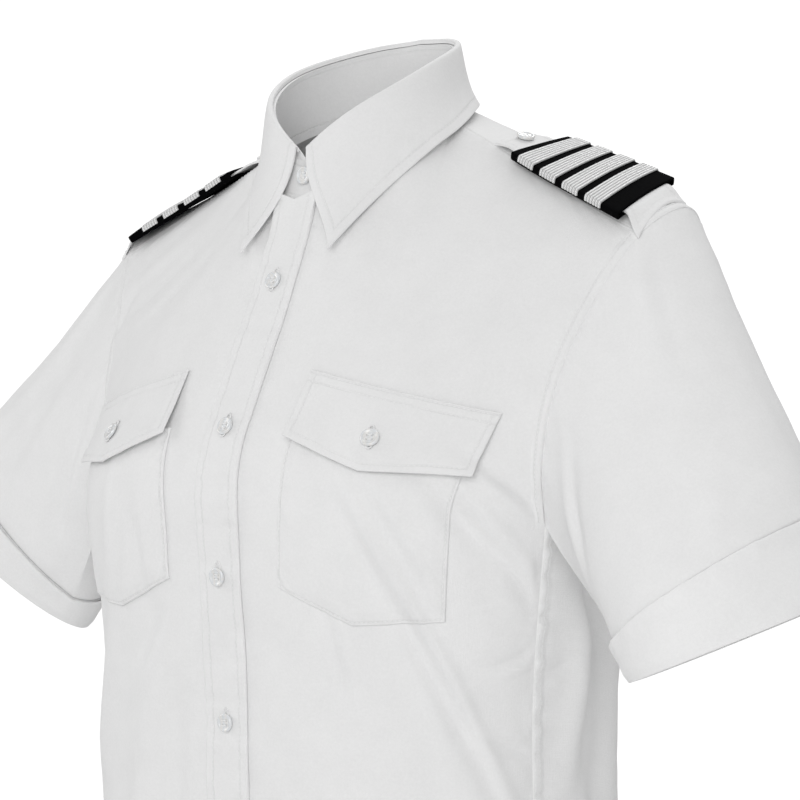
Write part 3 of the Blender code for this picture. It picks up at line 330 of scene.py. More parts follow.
BACK_ROUND_CREASES = (
    Crease("left_side_ridge", 0.236, -0.338, 84, 0.006, 0.056, 0.0100, 0.0058, 0.6),
    Crease("left_side_hollow", 0.262, -0.350, 86, 0.006, 0.090, 0.0130, -0.0060, 0.4),
    Crease("left_side_low", 0.240, -0.470, 92, 0.004, 0.075, 0.0110, 0.0048, 0.6),
    Crease("left_side_high", 0.254, -0.294, 122, 0.003, 0.040, 0.0150, -0.0120, 0.15),
    Crease("left_seam_pull", 0.215, -0.330, 20, 0.001, 0.012, 0.0035, -0.0012, 0.6),
    Crease("right_side_ridge", -0.238, -0.350, 95, 0.005, 0.060, 0.0110, 0.0038, 0.5),
    Crease("right_side_hollow", -0.264, -0.330, 92, 0.005, 0.080, 0.0130, -0.0040, 0.3),
    Crease("right_side_low", -0.245, -0.490, 86, 0.004, 0.070, 0.0120, -0.0032, 0.5),
    Crease("right_side_high", -0.252, -0.270, 64, 0.004, 0.030, 0.0080, -0.0026, 0.5),
)

# Creases of the sleeves: `at` is round the arm from its top towards the front, and z is the
# distance from the armhole towards the cuff.
SLEEVE_CREASES = {
    1: (
        Crease("cap_front", 0.040, 0.022, 72, 0.004, 0.026, 0.0075, -0.0016, 0.6),
        Crease("cap_back", -0.050, 0.026, 105, 0.004, 0.030, 0.0080, -0.0020, 0.6),
        Crease("outer_long", -0.018, 0.085, 93, 0.004, 0.070, 0.0110, 0.0016, 0.3),
        Crease("front_soft", 0.085, 0.080, 82, 0.004, 0.050, 0.0100, -0.0012, 0.4),
        Crease("front_low", 0.070, 0.125, 70, 0.003, 0.030, 0.0080, 0.0012, 0.4),
        Crease("under_drag", 0.150, 0.050, 55, 0.004, 0.034, 0.0070, -0.0024, 0.6),
        Crease("under_back", -0.145, 0.060, 120, 0.004, 0.040, 0.0080, -0.0030, 0.5),
        Crease("behind_long", -0.105, 0.085, 96, 0.004, 0.055, 0.0100, -0.0026, 0.5),
    ),
    -1: (
        Crease("cap_front", 0.034, 0.026, 66, 0.004, 0.030, 0.0075, -0.0020, 0.6),
        Crease("cap_back", -0.046, 0.022, 108, 0.004, 0.028, 0.0080, -0.0018, 0.6),
        Crease("outer_long", -0.010, 0.080, 88, 0.004, 0.065, 0.0110, 0.0014, 0.3),
        Crease("front_long", 0.062, 0.070, 78, 0.004, 0.050, 0.0085, 0.0022, 0.5),
        Crease("front_soft", 0.100, 0.095, 68, 0.004, 0.046, 0.0090, -0.0024, 0.5),
        Crease("under_drag", 0.140, 0.055, 60, 0.004, 0.040, 0.0075, -0.0030, 0.6),
        Crease("under_back", -0.150, 0.052, 118, 0.004, 0.036, 0.0080, -0.0028, 0.5),
        Crease("behind_long", -0.098, 0.090, 92, 0.004, 0.060, 0.0100, -0.0024, 0.5),
    ),
}
ARM_ROUND_RADIUS = 0.062
ARM_LENGTH = 0.165

CRUMPLE = 0.00045  # broad unevenness of worn cloth
RIPPLE = 0.00007  # and fine unevenness
FELL_WIDTH = 0.0065  # strip of a felled seam, beside which it is topstitched
FELL_HEIGHT = 0.00085
PUCKER = 0.00042  # height of the small waves beside a seam, and how far from it they reach
PUCKER_REACH = 0.0080
ROLL_RADIUS = 0.0011  # of a folded edge
GROOVE = 0.00010  # how deep a row of stitches sinks into a folded piece, and how wide
GROOVE_WIDTH = 0.0008
PLAIN = 0.05  # a distance from the stitching at which cloth is plain
COLLAR_STITCH = 0.0060  # from the edge
EDGE_STITCH = 0.0020
DOUBLE_STITCH = 0.0075
BAND_STITCH = 0.0055
HEM_STITCH = 0.0065
FELL_STITCH = FELL_WIDTH - 0.0016  # the row on a felled strip
STITCH_LENGTH = 0.0022
STITCH_PITCH = 0.0029
STITCH_WIDTH = 0.00050
STITCH_HEIGHT = 0.00022
EDGE_ZONE = 0.012  # the mesh is finer this near to a seam
FINE = 0.0013
COARSE = 0.0031
THREAD_REACH = 0.0011  # how far a sewn line pulls the cloth in, on each side

CUFF_CUT = 0.036  # width of a cuff
CUFF_LOOSE = 0.009  # how near to its upper edge a cuff stands off the sleeve
CUFF_STANDS = 0.0011  # how far it stands off, and how much that changes round it
CUFF_WAVES = 0.0004
CUFF_WAVE = 0.061
CUFF_SHADOW_LINE = 0.0003  # the painted shadow line on the sleeve, under a cuff's upper edge, lies this far outside it
HEM_THINNED = 0.0010  # how much a cuff is pressed thinner at its fold
FLAP_STITCH = 0.0045
STRAP_STITCH = 0.0045
BOARD_WEAVE = 0.0011  # from thread to thread
BRAID_RIBS = 6
RIB_HEIGHT = 0.00060
BINDING_PITCH = 0.00085  # of the fine threads across the braid, and the length over which they slant
BINDING_SLANT = 0.0025

FLOOR_RADIUS = 1.5
FLOOR_HEIGHT = -0.80
CAMERA_TURN = 40.0  # degrees round from the front, towards the wearer's left
CAMERA_TIP = 1.8
CAMERA_TARGET = (0.0, 0.0, -0.200)
CAMERA_AWAY = 1.55
CAMERA_LENS = 108.675
CAMERA_SHIFT = (0.055, 0.05625)
AMBIENT = 0.45
BACKGROUND = 1.1
STUDIO_LIGHTS = (
    # name, place, target, width and height, power
    ("front", (1.20, -2.00, 0.30), (0.05, 0.0, -0.30), (1.4, 1.6), 22.5),
    ("left", (-2.10, -1.00, 0.50), (0.0, 0.0, -0.25), (1.2, 1.4), 12.0),
    ("top", (0.30, -0.60, 2.20), (0.0, 0.0, -0.20), (1.6, 1.2), 3.0),
    ("back", (0.0, 1.30, 1.70), (0.0, 0.0, -0.20), (1.6, 1.2), 19.5),
)


# ---------------------------------------------------------------- curves and surfaces

def through(table, at, names, key="level"):
    """Smooth values of the named columns of a table at the places `at` of its key column."""
    keys = np.array([getattr(row, key) for row in table], float)
    values = np.array([[getattr(row, name) for name in names.split()] for row in table], float)
    slopes = np.gradient(values, keys, axis=0)
    at = np.clip(np.asarray(at, float), keys[0], keys[-1])
    index = np.clip(np.searchsorted(keys, at, side="right") - 1, 0, len(keys) - 2)
    step = keys[index + 1] - keys[index]
    t = ((at - keys[index]) / step)[..., None]
    step = step[..., None]
    low, high = values[index], values[index + 1]
    return (
        low * (1 + 2 * t) * (1 - t) ** 2
        + high * (3 - 2 * t) * t**2
        + slopes[index] * step * t * (1 - t) ** 2
        + slopes[index + 1] * step * (t - 1) * t**2
    )


def bezier(start, lead, trail, end, t):
    """The curve from start to end that leaves towards lead and arrives from trail."""
    t = t[..., None]
    return (
        start * (1 - t) ** 3 + 3 * lead * t * (1 - t) ** 2 + 3 * trail * t**2 * (1 - t) + end * t**3
    )


def ease(t):
    """0 to 1, with a level start and end."""
    t = np.clip(t, 0, 1)
    return t * t * (3 - 2 * t)


def unit(vectors):
    return vectors / np.linalg.norm(vectors, axis=-1, keepdims=True)


def mirrored(points):
    """The other side of the wearer, with the columns turned round so that the faces still point out."""
    return (points * [-1, 1, 1])[:, ::-1]


def sided(kind, side):
    """The name of a piece on the wearer's left (side 1) or right (-1)."""
    return f"{kind}_{'left' if side > 0 else 'right'}"


def turned(side, *grids):
    """Grids as they are, or for the right (side -1) with their columns turned round to face out."""
    return grids if side > 0 else [grid[:, ::-1] for grid in grids]


def hump(away, width):
    """1 on a line, dying out on both sides of it: exp(-(d / width)^2)."""
    return np.exp(-((away / width) ** 2))


def normals_of(points, closed=False):
    """Outward normals of a grid whose columns run to the left of its rows' upward way."""
    if closed:
        ring = np.concatenate([points[:, -1:], points, points[:, :1]], axis=1)
        across = (ring[:, 2:] - ring[:, :-2]) / 2
    else:
        across = np.gradient(points, axis=1)
    return unit(np.cross(across, np.gradient(points, axis=0)))


def folded(points, folds, facing, fade):
    """The points, moved out from the body's axis by each fold that lies on them, but not at seams."""
    out = unit(points * [1, 1.6, 0])
    moved = points.copy()
    for fold in folds:
        way = np.radians(fold.way)
        dx = points[..., 0] - fold.x
        dz = points[..., 2] - fold.z
        along = (dx * np.cos(way) + dz * np.sin(way)) / fold.length
        aside = (-dx * np.sin(way) + dz * np.cos(way)) / fold.width
        here = np.exp(-(along**2)) * np.exp(-(aside**2)) * np.cos(1.6 * aside)
        moved += out * (fold.height * here * fade * (points[..., 1] * facing > 0))[..., None]
    return moved


# ---------------------------------------------------------------- the body's surfaces

def around_neck(turn, radius):
    """Plan position on a circle round the neck, turned in degrees from the front."""
    turn = np.radians(turn)
    return radius * np.sin(turn), NECK_CENTRE_Y - radius * np.cos(turn)


def rim_height(turn, name):
    return through(COLLAR_RIM, turn, name, key="turn")[..., 0]


def neck_seam(turn):
    x, y = around_neck(turn, STAND_BASE_RADIUS + NECK_CLEAR)
    return np.stack([x, y, rim_height(turn, "seam")], axis=-1)


def armhole(at):
    return through(ARMHOLE, at, "x y z")


def body_edge(level, arm):
    """The outer edge of a front or back: its side seam up to level 1, then the armhole."""
    seam = through(SIDE_SEAM, np.minimum(level, 1), "x y z")
    return np.where((level > 1)[..., None], armhole(arm), seam)


def body_rows(table, edge, u, v):
    """Rows from the centre line to the edge, each leaving level and arriving in its own way."""
    y, z, middle, side, turn, dip = np.moveaxis(
        through(table, v, "y z pull_middle pull_side turn dip"), -1, 0
    )
    turn = np.radians(turn)
    none = np.zeros_like(y)
    start = np.stack([none, y, z], axis=-1)
    lead = start + np.stack([middle, none, none], axis=-1)
    way = unit(np.stack([np.cos(turn), np.sin(turn), -dip], axis=-1))
    return bezier(start, lead, edge - way * side[..., None], edge, u)


def yoke_surface(s, t):
    """The left half of the yoke: s from the neck to the armhole, t from back seam to front seam."""
    y, z, turn, arm, start_y, start_z, neck, end_y, end_z, sleeve = np.moveaxis(
        through(YOKE_ROWS, t, " ".join(YokeRow._fields[1:])), -1, 0
    )
    centre = np.stack([np.zeros_like(y), y, z], axis=-1)
    turn = np.minimum(turn, 180)
    start = np.where((t <= 0.5)[..., None], centre, neck_seam(turn))
    one = np.ones_like(y)
    leave = unit(np.stack([one, start_y, start_z], axis=-1)) * neck[..., None]
    arrive = unit(np.stack([one, end_y, end_z], axis=-1)) * sleeve[..., None]
    end = armhole(arm)
    return bezier(start, start + leave, end - arrive, end, s)


def front_top(u):
    """Upper edge of the left front: half the neckline, then the yoke's front seam."""
    turn = YOKE_SEAM_TURN * np.clip(u / NECKLINE_SHARE, 0, 1)
    s = np.clip((u - NECKLINE_SHARE) / (1 - NECKLINE_SHARE), 0, 1)
    seam = yoke_surface(s, np.ones_like(s))
    return np.where((u < NECKLINE_SHARE)[..., None], neck_seam(turn), seam)


def soft_front_top(u):
    """The same edge with its corner rounded off, for the cloth further down."""
    total = 0
    for shift in np.linspace(-SOFTENING, SOFTENING, 9):
        moved = u + shift
        past = np.where(moved > 1, 2 - moved, moved)
        point = front_top(np.abs(past)) * np.stack([np.sign(past), past * 0 + 1, past * 0 + 1], axis=-1)
        end = front_top(np.ones_like(u))
        total = total + np.where((moved > 1)[..., None], 2 * end - point, point)
    return total / 9


def front_surface(u, v, side=1, dressed=False):
    """A front: u from the centre to the side, v from the hem (0) past the underarm (1) to 2.
    Dressed, it has its creases too."""
    reach = np.abs(u)
    edge = body_edge(v, (v - 1) * FRONT_SEAM_AT)
    rows = body_rows(FRONT_ROWS, edge, reach, v)
    top = np.full_like(v, 2.0)
    last = body_rows(FRONT_ROWS, body_edge(top, top * 0 + FRONT_SEAM_AT), reach, top)
    high = np.clip(v - 1, 0, 1)[..., None]
    soft = soft_front_top(reach)
    rows = rows + (soft - last) * high**1.7 + (front_top(reach) - soft) * high**7
    one = np.ones_like(rows[..., 0])
    rows = rows * np.stack([np.where(u < 0, -side, side) * one, one, one], axis=-1)
    rows = folded(rows, FRONT_FOLDS, -1, ease((1 - reach) / FOLD_FADE))
    if not dressed:
        return rows
    fade = ease((1 - reach) / CREASE_FADE) * ease((2 - v) / CREASE_FADE)
    return body_creases(rows, FRONT_CREASES, FRONT_ROUND_CREASES, fade)


def back_surface(u, v, side=1):
    """Half of the back: u from the centre to the side, v from the hem (0) past 1 to the yoke (2)."""
    edge = body_edge(v, UNDERARM_AT - (v - 1) * (UNDERARM_AT - BACK_SEAM_AT))
    rows = body_rows(BACK_ROWS, edge, u, v)
    top = np.full_like(v, 2.0)
    last = body_rows(BACK_ROWS, armhole(top * 0 + BACK_SEAM_AT), u, top)
    seam = yoke_surface(u, np.zeros_like(u))
    rows = rows + (seam - last) * (np.clip(v - 1.0, 0, 1) ** 2)[..., None]
    rows = folded(rows * [side, 1, 1], BACK_FOLDS, 1, ease((1 - u) / FOLD_FADE))
    fade = ease((1 - u) / CREASE_FADE) * ease((2 - v) / CREASE_FADE)
    return body_creases(rows, BACK_CREASES, BACK_ROUND_CREASES, fade)


def shoulder_surface(s, t):
    """The yoke, and past its front seam (t over 1) the top of the left front."""
    u = NECKLINE_SHARE + s * (1 - NECKLINE_SHARE)
    front = front_surface(u, 2 - np.clip(t - 1, 0, 1))
    return np.where((t > 1)[..., None], front, yoke_surface(s, np.minimum(t, 1)))


def place_on(surface, axes, targets, guess):
    """The two parameters at which a surface passes a place, given on two of its three axes."""
    targets = np.asarray(targets, float)
    found = np.broadcast_to(np.asarray(guess, float), targets.shape).copy()
    nudge = 1e-4
    for _ in range(12):
        here = surface(found[..., 0], found[..., 1])[..., axes]
        du = (surface(found[..., 0] + nudge, found[..., 1])[..., axes] - here) / nudge
        dv = (surface(found[..., 0], found[..., 1] + nudge)[..., axes] - here) / nudge
        miss = targets - here
        area = du[..., 0] * dv[..., 1] - du[..., 1] * dv[..., 0]
        step_u = (miss[..., 0] * dv[..., 1] - miss[..., 1] * dv[..., 0]) / area
        step_v = (du[..., 0] * miss[..., 1] - du[..., 1] * miss[..., 0]) / area
        found += np.clip(np.stack([step_u, step_v], axis=-1), -0.1, 0.1)
    return found


def surface_normals(surface, at):
    nudge = 1e-3
    du = surface(at[..., 0] + nudge, at[..., 1]) - surface(at[..., 0] - nudge, at[..., 1])
    dv = surface(at[..., 0], at[..., 1] + nudge) - surface(at[..., 0], at[..., 1] - nudge)
    return unit(np.cross(du, dv))


def sleeve_surface(levels, w, side):
    """A sleeve, built on the left: by level round the armhole, and w from there (0) to the hem (1)."""
    ring = armhole(levels)
    behind = (TIP_AT - levels) / (UNDERARM_AT - TIP_AT)
    turn = np.where(levels <= TIP_AT, (TIP_AT - levels) / TIP_AT, behind) * np.pi
    top = (1 + np.cos(turn))[..., None] / 2
    hem = (
        CUFF_MIDDLE[side]
        + CUFF_OUTWARD[side] * np.cos(turn)[..., None]
        + CUFF_FORWARD[side] * np.sin(turn)[..., None]
    )
    arm = unit(ARM_WAY)
    leave = unit(arm + top * TOP_WAY[side] + (1 - top) * UNDER_WAY)
    reach = np.linalg.norm(hem - ring, axis=-1, keepdims=True)
    lead = ring + leave * reach * SLEEVE_PULL
    trail = hem - arm * reach * SLEEVE_PULL
    return bezier(ring, lead, trail, hem, w)


# ---------------------------------------------------------------- creases and unevenness

def wave_set(count, shortest, longest, seed):
    """Wave vectors and phases, each wave running its own way through space."""
    random = np.random.default_rng(seed)
    ways = unit(random.normal(size=(count, 3)))
    lengths = random.uniform(shortest, longest, count)
    return ways * (2 * np.pi / lengths)[:, None], random.uniform(0, 2 * np.pi, count)


BROAD_WAVES = wave_set(14, 0.038, 0.120, 3)
SMALL_WAVES = wave_set(12, 0.010, 0.024, 5)


def uneven(points, broad=1.0):
    """How far worn cloth stands off its even form: the sum of sin(k.p + phase) over both wave sets."""
    total = 0
    for (waves, phases), height in ((BROAD_WAVES, CRUMPLE * broad), (SMALL_WAVES, RIPPLE)):
        waved = np.sin(points @ waves.T + phases).sum(axis=-1)
        total = total + waved * height / np.sqrt(len(phases) / 2)
    return total * bpy.context.scene.pilot_shirt.crumple


def crease_height(across, up, creases):
    """Sum of h exp(-l^2) (exp(-a^2) - lip exp(-(a + 1.3)^2 / 0.6)), l along each crease, a across it."""
    total = np.zeros_like(across)
    for crease in creases:
        way = np.radians(crease.way)
        dx, dz = across - crease.at, up - crease.z
        along = (dx * np.cos(way) + dz * np.sin(way)) / crease.length
        aside = (-dx * np.sin(way) + dz * np.cos(way) - crease.bend * along**2) / crease.width
        profile = np.exp(-(aside**2)) - crease.lip * np.exp(-((aside + 1.3) ** 2) / 0.6)
        total += crease.height * profile * np.exp(-(along**2))
    return total * bpy.context.scene.pilot_shirt.creases


def body_creases(points, flat, round_body, fade):
    """The points moved out from the body's axis by the creases seen from the front, by those placed
    round the body and by the cloth's unevenness, less towards the seams (fade)."""
    x, y, z = np.moveaxis(points, -1, 0)
    around = np.arctan2(x, -y) * ROUND_RADIUS
    height = crease_height(x, z, flat) + crease_height(around, z, round_body) + uneven(points)
    return points + unit(points * [1, 1.6, 0]) * (height * fade)[..., None]


def seam_pucker(along, away):
    """Small waves beside a sewn line: sines of 9, 13 and 21 mm, dying out beside it. The first two
    come and go along the line."""
    def sine(length, phase=0.0):
        return np.sin(along * 2 * np.pi / length + phase)

    wave = sine(0.0093) * sine(0.071, 1.0)
    wave = wave + 0.8 * sine(0.0131, 2.0) * sine(0.113)
    wave = wave + 0.9 * sine(0.0212, 4.0)
    return PUCKER * wave * hump(away, PUCKER_REACH)


def felled(away):
    """Height of a felled seam's strip, away from its edge: FELL_HEIGHT up to FELL_WIDTH, then level."""
    strip = 1 - ease((away - FELL_WIDTH + 0.0006) / 0.0014)
    return FELL_HEIGHT * strip * ease(away / 0.0012)


def rolled(away, thick):
    """How far a folded edge sinks: thick / 2 (1 - sqrt(1 - (1 - d / r)^2)) within r of the edge."""
    near = np.clip(1 - away / ROLL_RADIUS, 0, 1)
    return 0.5 * thick * (1 - np.sqrt(1 - near**2))


# ---------------------------------------------------------------- meshes

def arc(points, axis):
    """Length along each line of a grid, from its start."""
    step = np.linalg.norm(np.diff(points, axis=axis), axis=-1)
    start = np.zeros_like(np.take(step, [0], axis=axis))
    return np.concatenate([start, np.cumsum(step, axis=axis)], axis=axis)


def spaced(length, start=None, end=None, coarse=COARSE):
    """Shares from 0 to 1 of a length: closer together near an end that is "sewn", and closest at
    one that is "folded"."""
    ends = {None: [0.0], "sewn": [0.0, 0.0005], "folded": [0.0, 0.0003, 0.0007, 0.0012, 0.0020]}
    zone = np.arange(1, int(EDGE_ZONE / FINE)) * FINE
    first = np.append(ends[start], zone + ends[start][-1]) if start else np.array([0.0])
    last = np.append(ends[end], zone + ends[end][-1]) if end else np.array([0.0])
    between = length - first[-1] - last[-1]
    middle = np.linspace(0, between, max(2, int(round(between / coarse)) + 1))[1:-1]
    return np.concatenate([first, first[-1] + middle, (length - last)[::-1]]) / length


def grid_corners(rows, columns, closed):
    """Row and column of the four corners of each face; past the last column is the first again."""
    i, j = np.meshgrid(np.arange(rows - 1), np.arange(columns if closed else columns - 1), indexing="ij")
    steps = ((0, 0), (0, 1), (1, 1), (1, 0))
    return np.stack([np.stack([i + a, j + b], axis=-1) for a, b in steps], axis=-2).reshape(-1, 4, 2)


def edge_paths(rows, columns, closed):
    """The border of a grid as closed paths of rows and columns."""
    if closed:
        turn = np.arange(columns + 1)
        return [
            np.stack([turn * 0, turn], axis=-1),
            np.stack([turn * 0 + rows - 1, turn[::-1]], axis=-1),
        ]
    across, up = np.arange(columns), np.arange(rows)
    path = np.concatenate([
        np.stack([across * 0, across], axis=-1),
        np.stack([up[1:], up[1:] * 0 + columns - 1], axis=-1),
        np.stack([across * 0 + rows - 1, across], axis=-1)[-2::-1],
        np.stack([up, up * 0], axis=-1)[-2:0:-1],
        [[0, 0]],
    ])
    return [path]


def add_mesh(name, points, faces, look, uv=None, sewn=None, angle=50.0):
    """A piece from its points and faces, with its map in metres and its distance to the stitching or, on
    a sleeve, to the painted shadow line under its cuff.
    """
    mesh = bpy.data.meshes.new(name)
    mesh.from_pydata(np.asarray(points, float).tolist(), [], [list(face) for face in faces])
    mesh.update()
    if uv is not None:
        layer = mesh.uv_layers.new(name="cloth")
        layer.data.foreach_set("uv", np.asarray(uv, np.float32).reshape(-1))
    away = mesh.attributes.new("sewn", "FLOAT", "POINT")
    values = np.full(len(points), PLAIN) if sewn is None else np.asarray(sewn, float).reshape(-1)
    away.data.foreach_set("value", values.astype(np.float32))
    mesh.materials.append(look)
    mesh.shade_smooth()
    mesh.set_sharp_from_angle(angle=np.radians(angle))
    made = bpy.data.objects.new(name, mesh)
    bpy.context.scene.collection.objects.link(made)
    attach(made, "root")
    return made


def wall(name, outer, inner, look, closed=False, uv=None, sewn=None):
    """One closed shell between two grids, with its map running over both faces."""
    rows, columns = outer.shape[:2]
    count = rows * columns
    wide = columns + 1 if closed else columns
    if uv is None:
        ring = np.concatenate([outer, outer[:, :1]], axis=1) if closed else outer
        uv = np.stack([arc(ring, 1), arc(ring, 0)], axis=-1)
    corners = grid_corners(rows, columns, closed)
    number = corners[..., 0] * columns + corners[..., 1] % columns
    spot = corners[..., 0] * wide + corners[..., 1]
    faces, spots = [number, number[:, ::-1] + count], [spot, spot[:, ::-1]]
    for path in edge_paths(rows, columns, closed):
        at = path[:, 0] * columns + path[:, 1] % columns
        on = path[:, 0] * wide + path[:, 1]
        faces.append(np.stack([at[1:], at[:-1], at[:-1] + count, at[1:] + count], axis=-1))
        spots.append(np.stack([on[1:], on[:-1], on[:-1], on[1:]], axis=-1))
    faces, spots = np.concatenate(faces), np.concatenate(spots)
    points = np.concatenate([outer.reshape(-1, 3), inner.reshape(-1, 3)])
    both = None if sewn is None else np.tile(np.ravel(sewn), 2)
    return add_mesh(name, points, faces, look, uv.reshape(-1, 2)[spots], both)


def closed_normals(grid):
    return normals_of(grid, closed=True)


def edge_distance(points, path):
    """Distance of each point to a path of short segments."""
    start, step = path[:-1], np.diff(path, axis=0)
    size = np.maximum((step**2).sum(axis=-1), 1e-12)
    flat = points.reshape(-1, 3)
    found = []
    for part in np.array_split(flat, max(1, len(flat) // 1500)):
        gap = part[:, None] - start[None]
        share = np.clip((gap * step).sum(axis=-1) / size, 0, 1)
        found.append(np.linalg.norm(gap - share[..., None] * step, axis=-1).min(axis=1))
    return np.concatenate(found).reshape(points.shape[:-1])


def line_at(points, normals, away, depth, axis, flip=False, keep=None):
    """The line on a grid where `away` first reaches depth, going in from one edge along the axis."""
    if axis == 1:
        points, normals, away = np.swapaxes(points, 0, 1), np.swapaxes(normals, 0, 1), away.T
    if flip:
        points, normals, away = points[::-1], normals[::-1], away[::-1]
    past = away >= depth
    k = np.argmax(past, axis=0)
    lines = np.arange(away.shape[1])
    good = past.any(axis=0) & (k > 0)
    if keep is not None:
        good &= keep
    k, lines = k[good], lines[good]
    low, high = away[k - 1, lines], away[k, lines]
    t = ((depth - low) / np.maximum(high - low, 1e-9))[:, None]
    here = points[k - 1, lines] * (1 - t) + points[k, lines] * t
    facing = unit(normals[k - 1, lines] * (1 - t) + normals[k, lines] * t)
    return here, facing


SPINDLE = np.array(
    [(-0.5, 0, 0)]
    + [(-0.26, w, h) for w, h in ((0.5, 0), (0, 0.5), (-0.5, 0), (0, -0.5))]
    + [(0.26, w, h) for w, h in ((0.5, 0), (0, 0.5), (-0.5, 0), (0, -0.5))]
    + [(0.5, 0, 0)]
)
SPINDLE_FACES = (
    [(0, 1 + (k + 1) % 4, 1 + k) for k in range(4)]
    + [(1 + k, 1 + (k + 1) % 4, 5 + (k + 1) % 4, 5 + k) for k in range(4)]
    + [(5 + k, 5 + (k + 1) % 4, 9) for k in range(4)]
)


def spindles(centres, ways, facings, size):
    """Points and faces of small closed threads, long along ways and standing up along facings."""
    ways = unit(ways)
    aside = unit(np.cross(facings, ways))
    up = np.cross(ways, aside)
    length, width, height = size
    points = (
        centres[:, None]
        + ways[:, None] * (SPINDLE[:, :1] * length)
        + aside[:, None] * (SPINDLE[:, 1:2] * width)
        + up[:, None] * (SPINDLE[:, 2:] * height)
    )
    starts = np.arange(len(centres)) * len(SPINDLE)
    faces = [tuple(c + start for c in face) for start in starts.tolist() for face in SPINDLE_FACES]
    return points.reshape(-1, 3), faces


def stitches(name, lines, look):
    """Rows of stitches along lines on the cloth: one thread every STITCH_PITCH, half sunk into it."""
    centres, ways, facings = [], [], []
    for points, normals in lines:
        if len(points) < 3:
            continue
        run = np.concatenate([[0], np.cumsum(np.linalg.norm(np.diff(points, axis=0), axis=-1))])
        at = np.arange(STITCH_PITCH / 2, run[-1], STITCH_PITCH)

        def along(values, at):
            return np.stack([np.interp(at, run, values[:, k]) for k in range(3)], axis=-1)

        facing = unit(along(normals, at))
        centres.append(along(points, at) + facing * STITCH_HEIGHT * 0.25)
        ways.append(along(points, at + 0.001) - along(points, at - 0.001))
        facings.append(facing)
    size = (STITCH_LENGTH, STITCH_WIDTH, STITCH_HEIGHT * 2)
    points, faces = spindles(
        np.concatenate(centres), np.concatenate(ways), np.concatenate(facings), size
    )
    add_mesh(name, points, faces, look, angle=80.0)


def declare(node):
    """The piece stands for its solid, which is hidden."""
    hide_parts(node)


def cloth_piece(node, outer, inner, look, rests_on, held="draped", **maps):
    """A closed piece of cloth between two grids, standing for its solid, which is hidden."""
    piece = wall(f"{node}_cloth", outer, inner, look, **maps)
    declare(node)
    return piece


def other_side(lines):
    """Lines on the cloth, and their facings, on the wearer's other side."""
    return [(line * [-1, 1, 1], facing * [-1, 1, 1]) for line, facing in lines]


# ---------------------------------------------------------------- materials

def link_nodes(tree, kind, inputs=(), **settings):
    """A shader node with its settings and inputs, each input a value or another node's output."""
    node = tree.nodes.new(kind)
    for key, value in settings.items():
        setattr(node, key, value)
    for key, value in dict(inputs).items():
        if isinstance(value, bpy.types.NodeSocket):
            tree.links.new(value, node.inputs[key])
        else:
            node.inputs[key].default_value = value
    return node


def maths(tree, operation, *values):
    return link_nodes(tree, "ShaderNodeMath", dict(enumerate(values)), operation=operation).outputs[0]


def group_tree(name, outputs, inputs=()):
    """An empty node group with its sockets, and its input and output nodes."""
    tree = bpy.data.node_groups.new(name, "ShaderNodeTree")
    for label, kind, value in inputs:
        socket = tree.interface.new_socket(label, in_out="INPUT", socket_type=kind)
        socket.default_value = value
    for label, kind in outputs:
        tree.interface.new_socket(label, in_out="OUTPUT", socket_type=kind)
    return tree, tree.nodes.new("NodeGroupInput"), tree.nodes.new("NodeGroupOutput")


def own_map(tree):
    """The piece's own map, in metres."""
    return link_nodes(tree, "ShaderNodeUVMap", uv_map="cloth").outputs["UV"]


def own_place(tree):
    return link_nodes(tree, "ShaderNodeTexCoord").outputs["Object"]


def noise(tree, where, scale, detail):
    made = link_nodes(tree, "ShaderNodeTexNoise", {"Vector": where, "Scale": scale, "Detail": detail})
    return made.outputs["Fac"]


def streaks(tree, across, along, detail=2.0):
    """Noise drawn out along the piece's own map, so many to a metre each way."""
    scale = {0: own_map(tree), 1: (across, along, 1.0)}
    where = link_nodes(tree, "ShaderNodeVectorMath", scale, operation="MULTIPLY").outputs[0]
    return noise(tree, where, 1.0, detail)


def weighted(tree, first, share, second, other):
    """first times its share, plus second times the other share."""
    return maths(tree, "ADD", maths(tree, "MULTIPLY", first, share),
                 maths(tree, "MULTIPLY", second, other))


def graded(tree, value, **ends):
    """A value taken from one range to another."""
    ends = {key.replace("_", " "): end for key, end in ends.items()}
    return link_nodes(tree, "ShaderNodeMapRange", {"Value": value, **ends}).outputs["Result"]


def bump(tree, shader, height, strength, distance=0.001):
    made = link_nodes(tree, "ShaderNodeBump",
                      {"Height": height, "Strength": strength, "Distance": distance})
    tree.links.new(made.outputs["Normal"], shader.inputs["Normal"])


def woven_group():
    """Plain weave: threads over and under, slubs along both ways, and cloud in the whiteness."""
    name = "woven cloth"
    if name in bpy.data.node_groups:
        return bpy.data.node_groups[name]
    tree, given, out = group_tree(
        name,
        (("Height", "NodeSocketFloat"), ("Cloud", "NodeSocketFloat")),
        (("Pitch", "NodeSocketFloat", 0.00042),),
    )
    where = own_map(tree)
    bend = maths(tree, "MULTIPLY", noise(tree, where, 260.0, 2.0), 0.0004)
    split = link_nodes(tree, "ShaderNodeSeparateXYZ", {0: where})
    turns = maths(tree, "DIVIDE", 2 * np.pi, given.outputs["Pitch"])
    across, along = (
        maths(tree, "SINE", maths(tree, "MULTIPLY", maths(tree, "ADD", split.outputs[k], bend), turns))
        for k in (0, 1)
    )
    weave = maths(tree, "MULTIPLY", across, along)
    slubs = maths(tree, "ADD", streaks(tree, 1700.0, 120.0), streaks(tree, 110.0, 1500.0))
    height = weighted(tree, weave, 0.016, slubs, 0.15)
    where = own_place(tree)
    cloud = weighted(tree, noise(tree, where, 46.0, 4.0), 0.45, noise(tree, where, 620.0, 3.0), 0.55)
    tree.links.new(height, out.inputs["Height"])
    tree.links.new(cloud, out.inputs["Cloud"])
    return tree


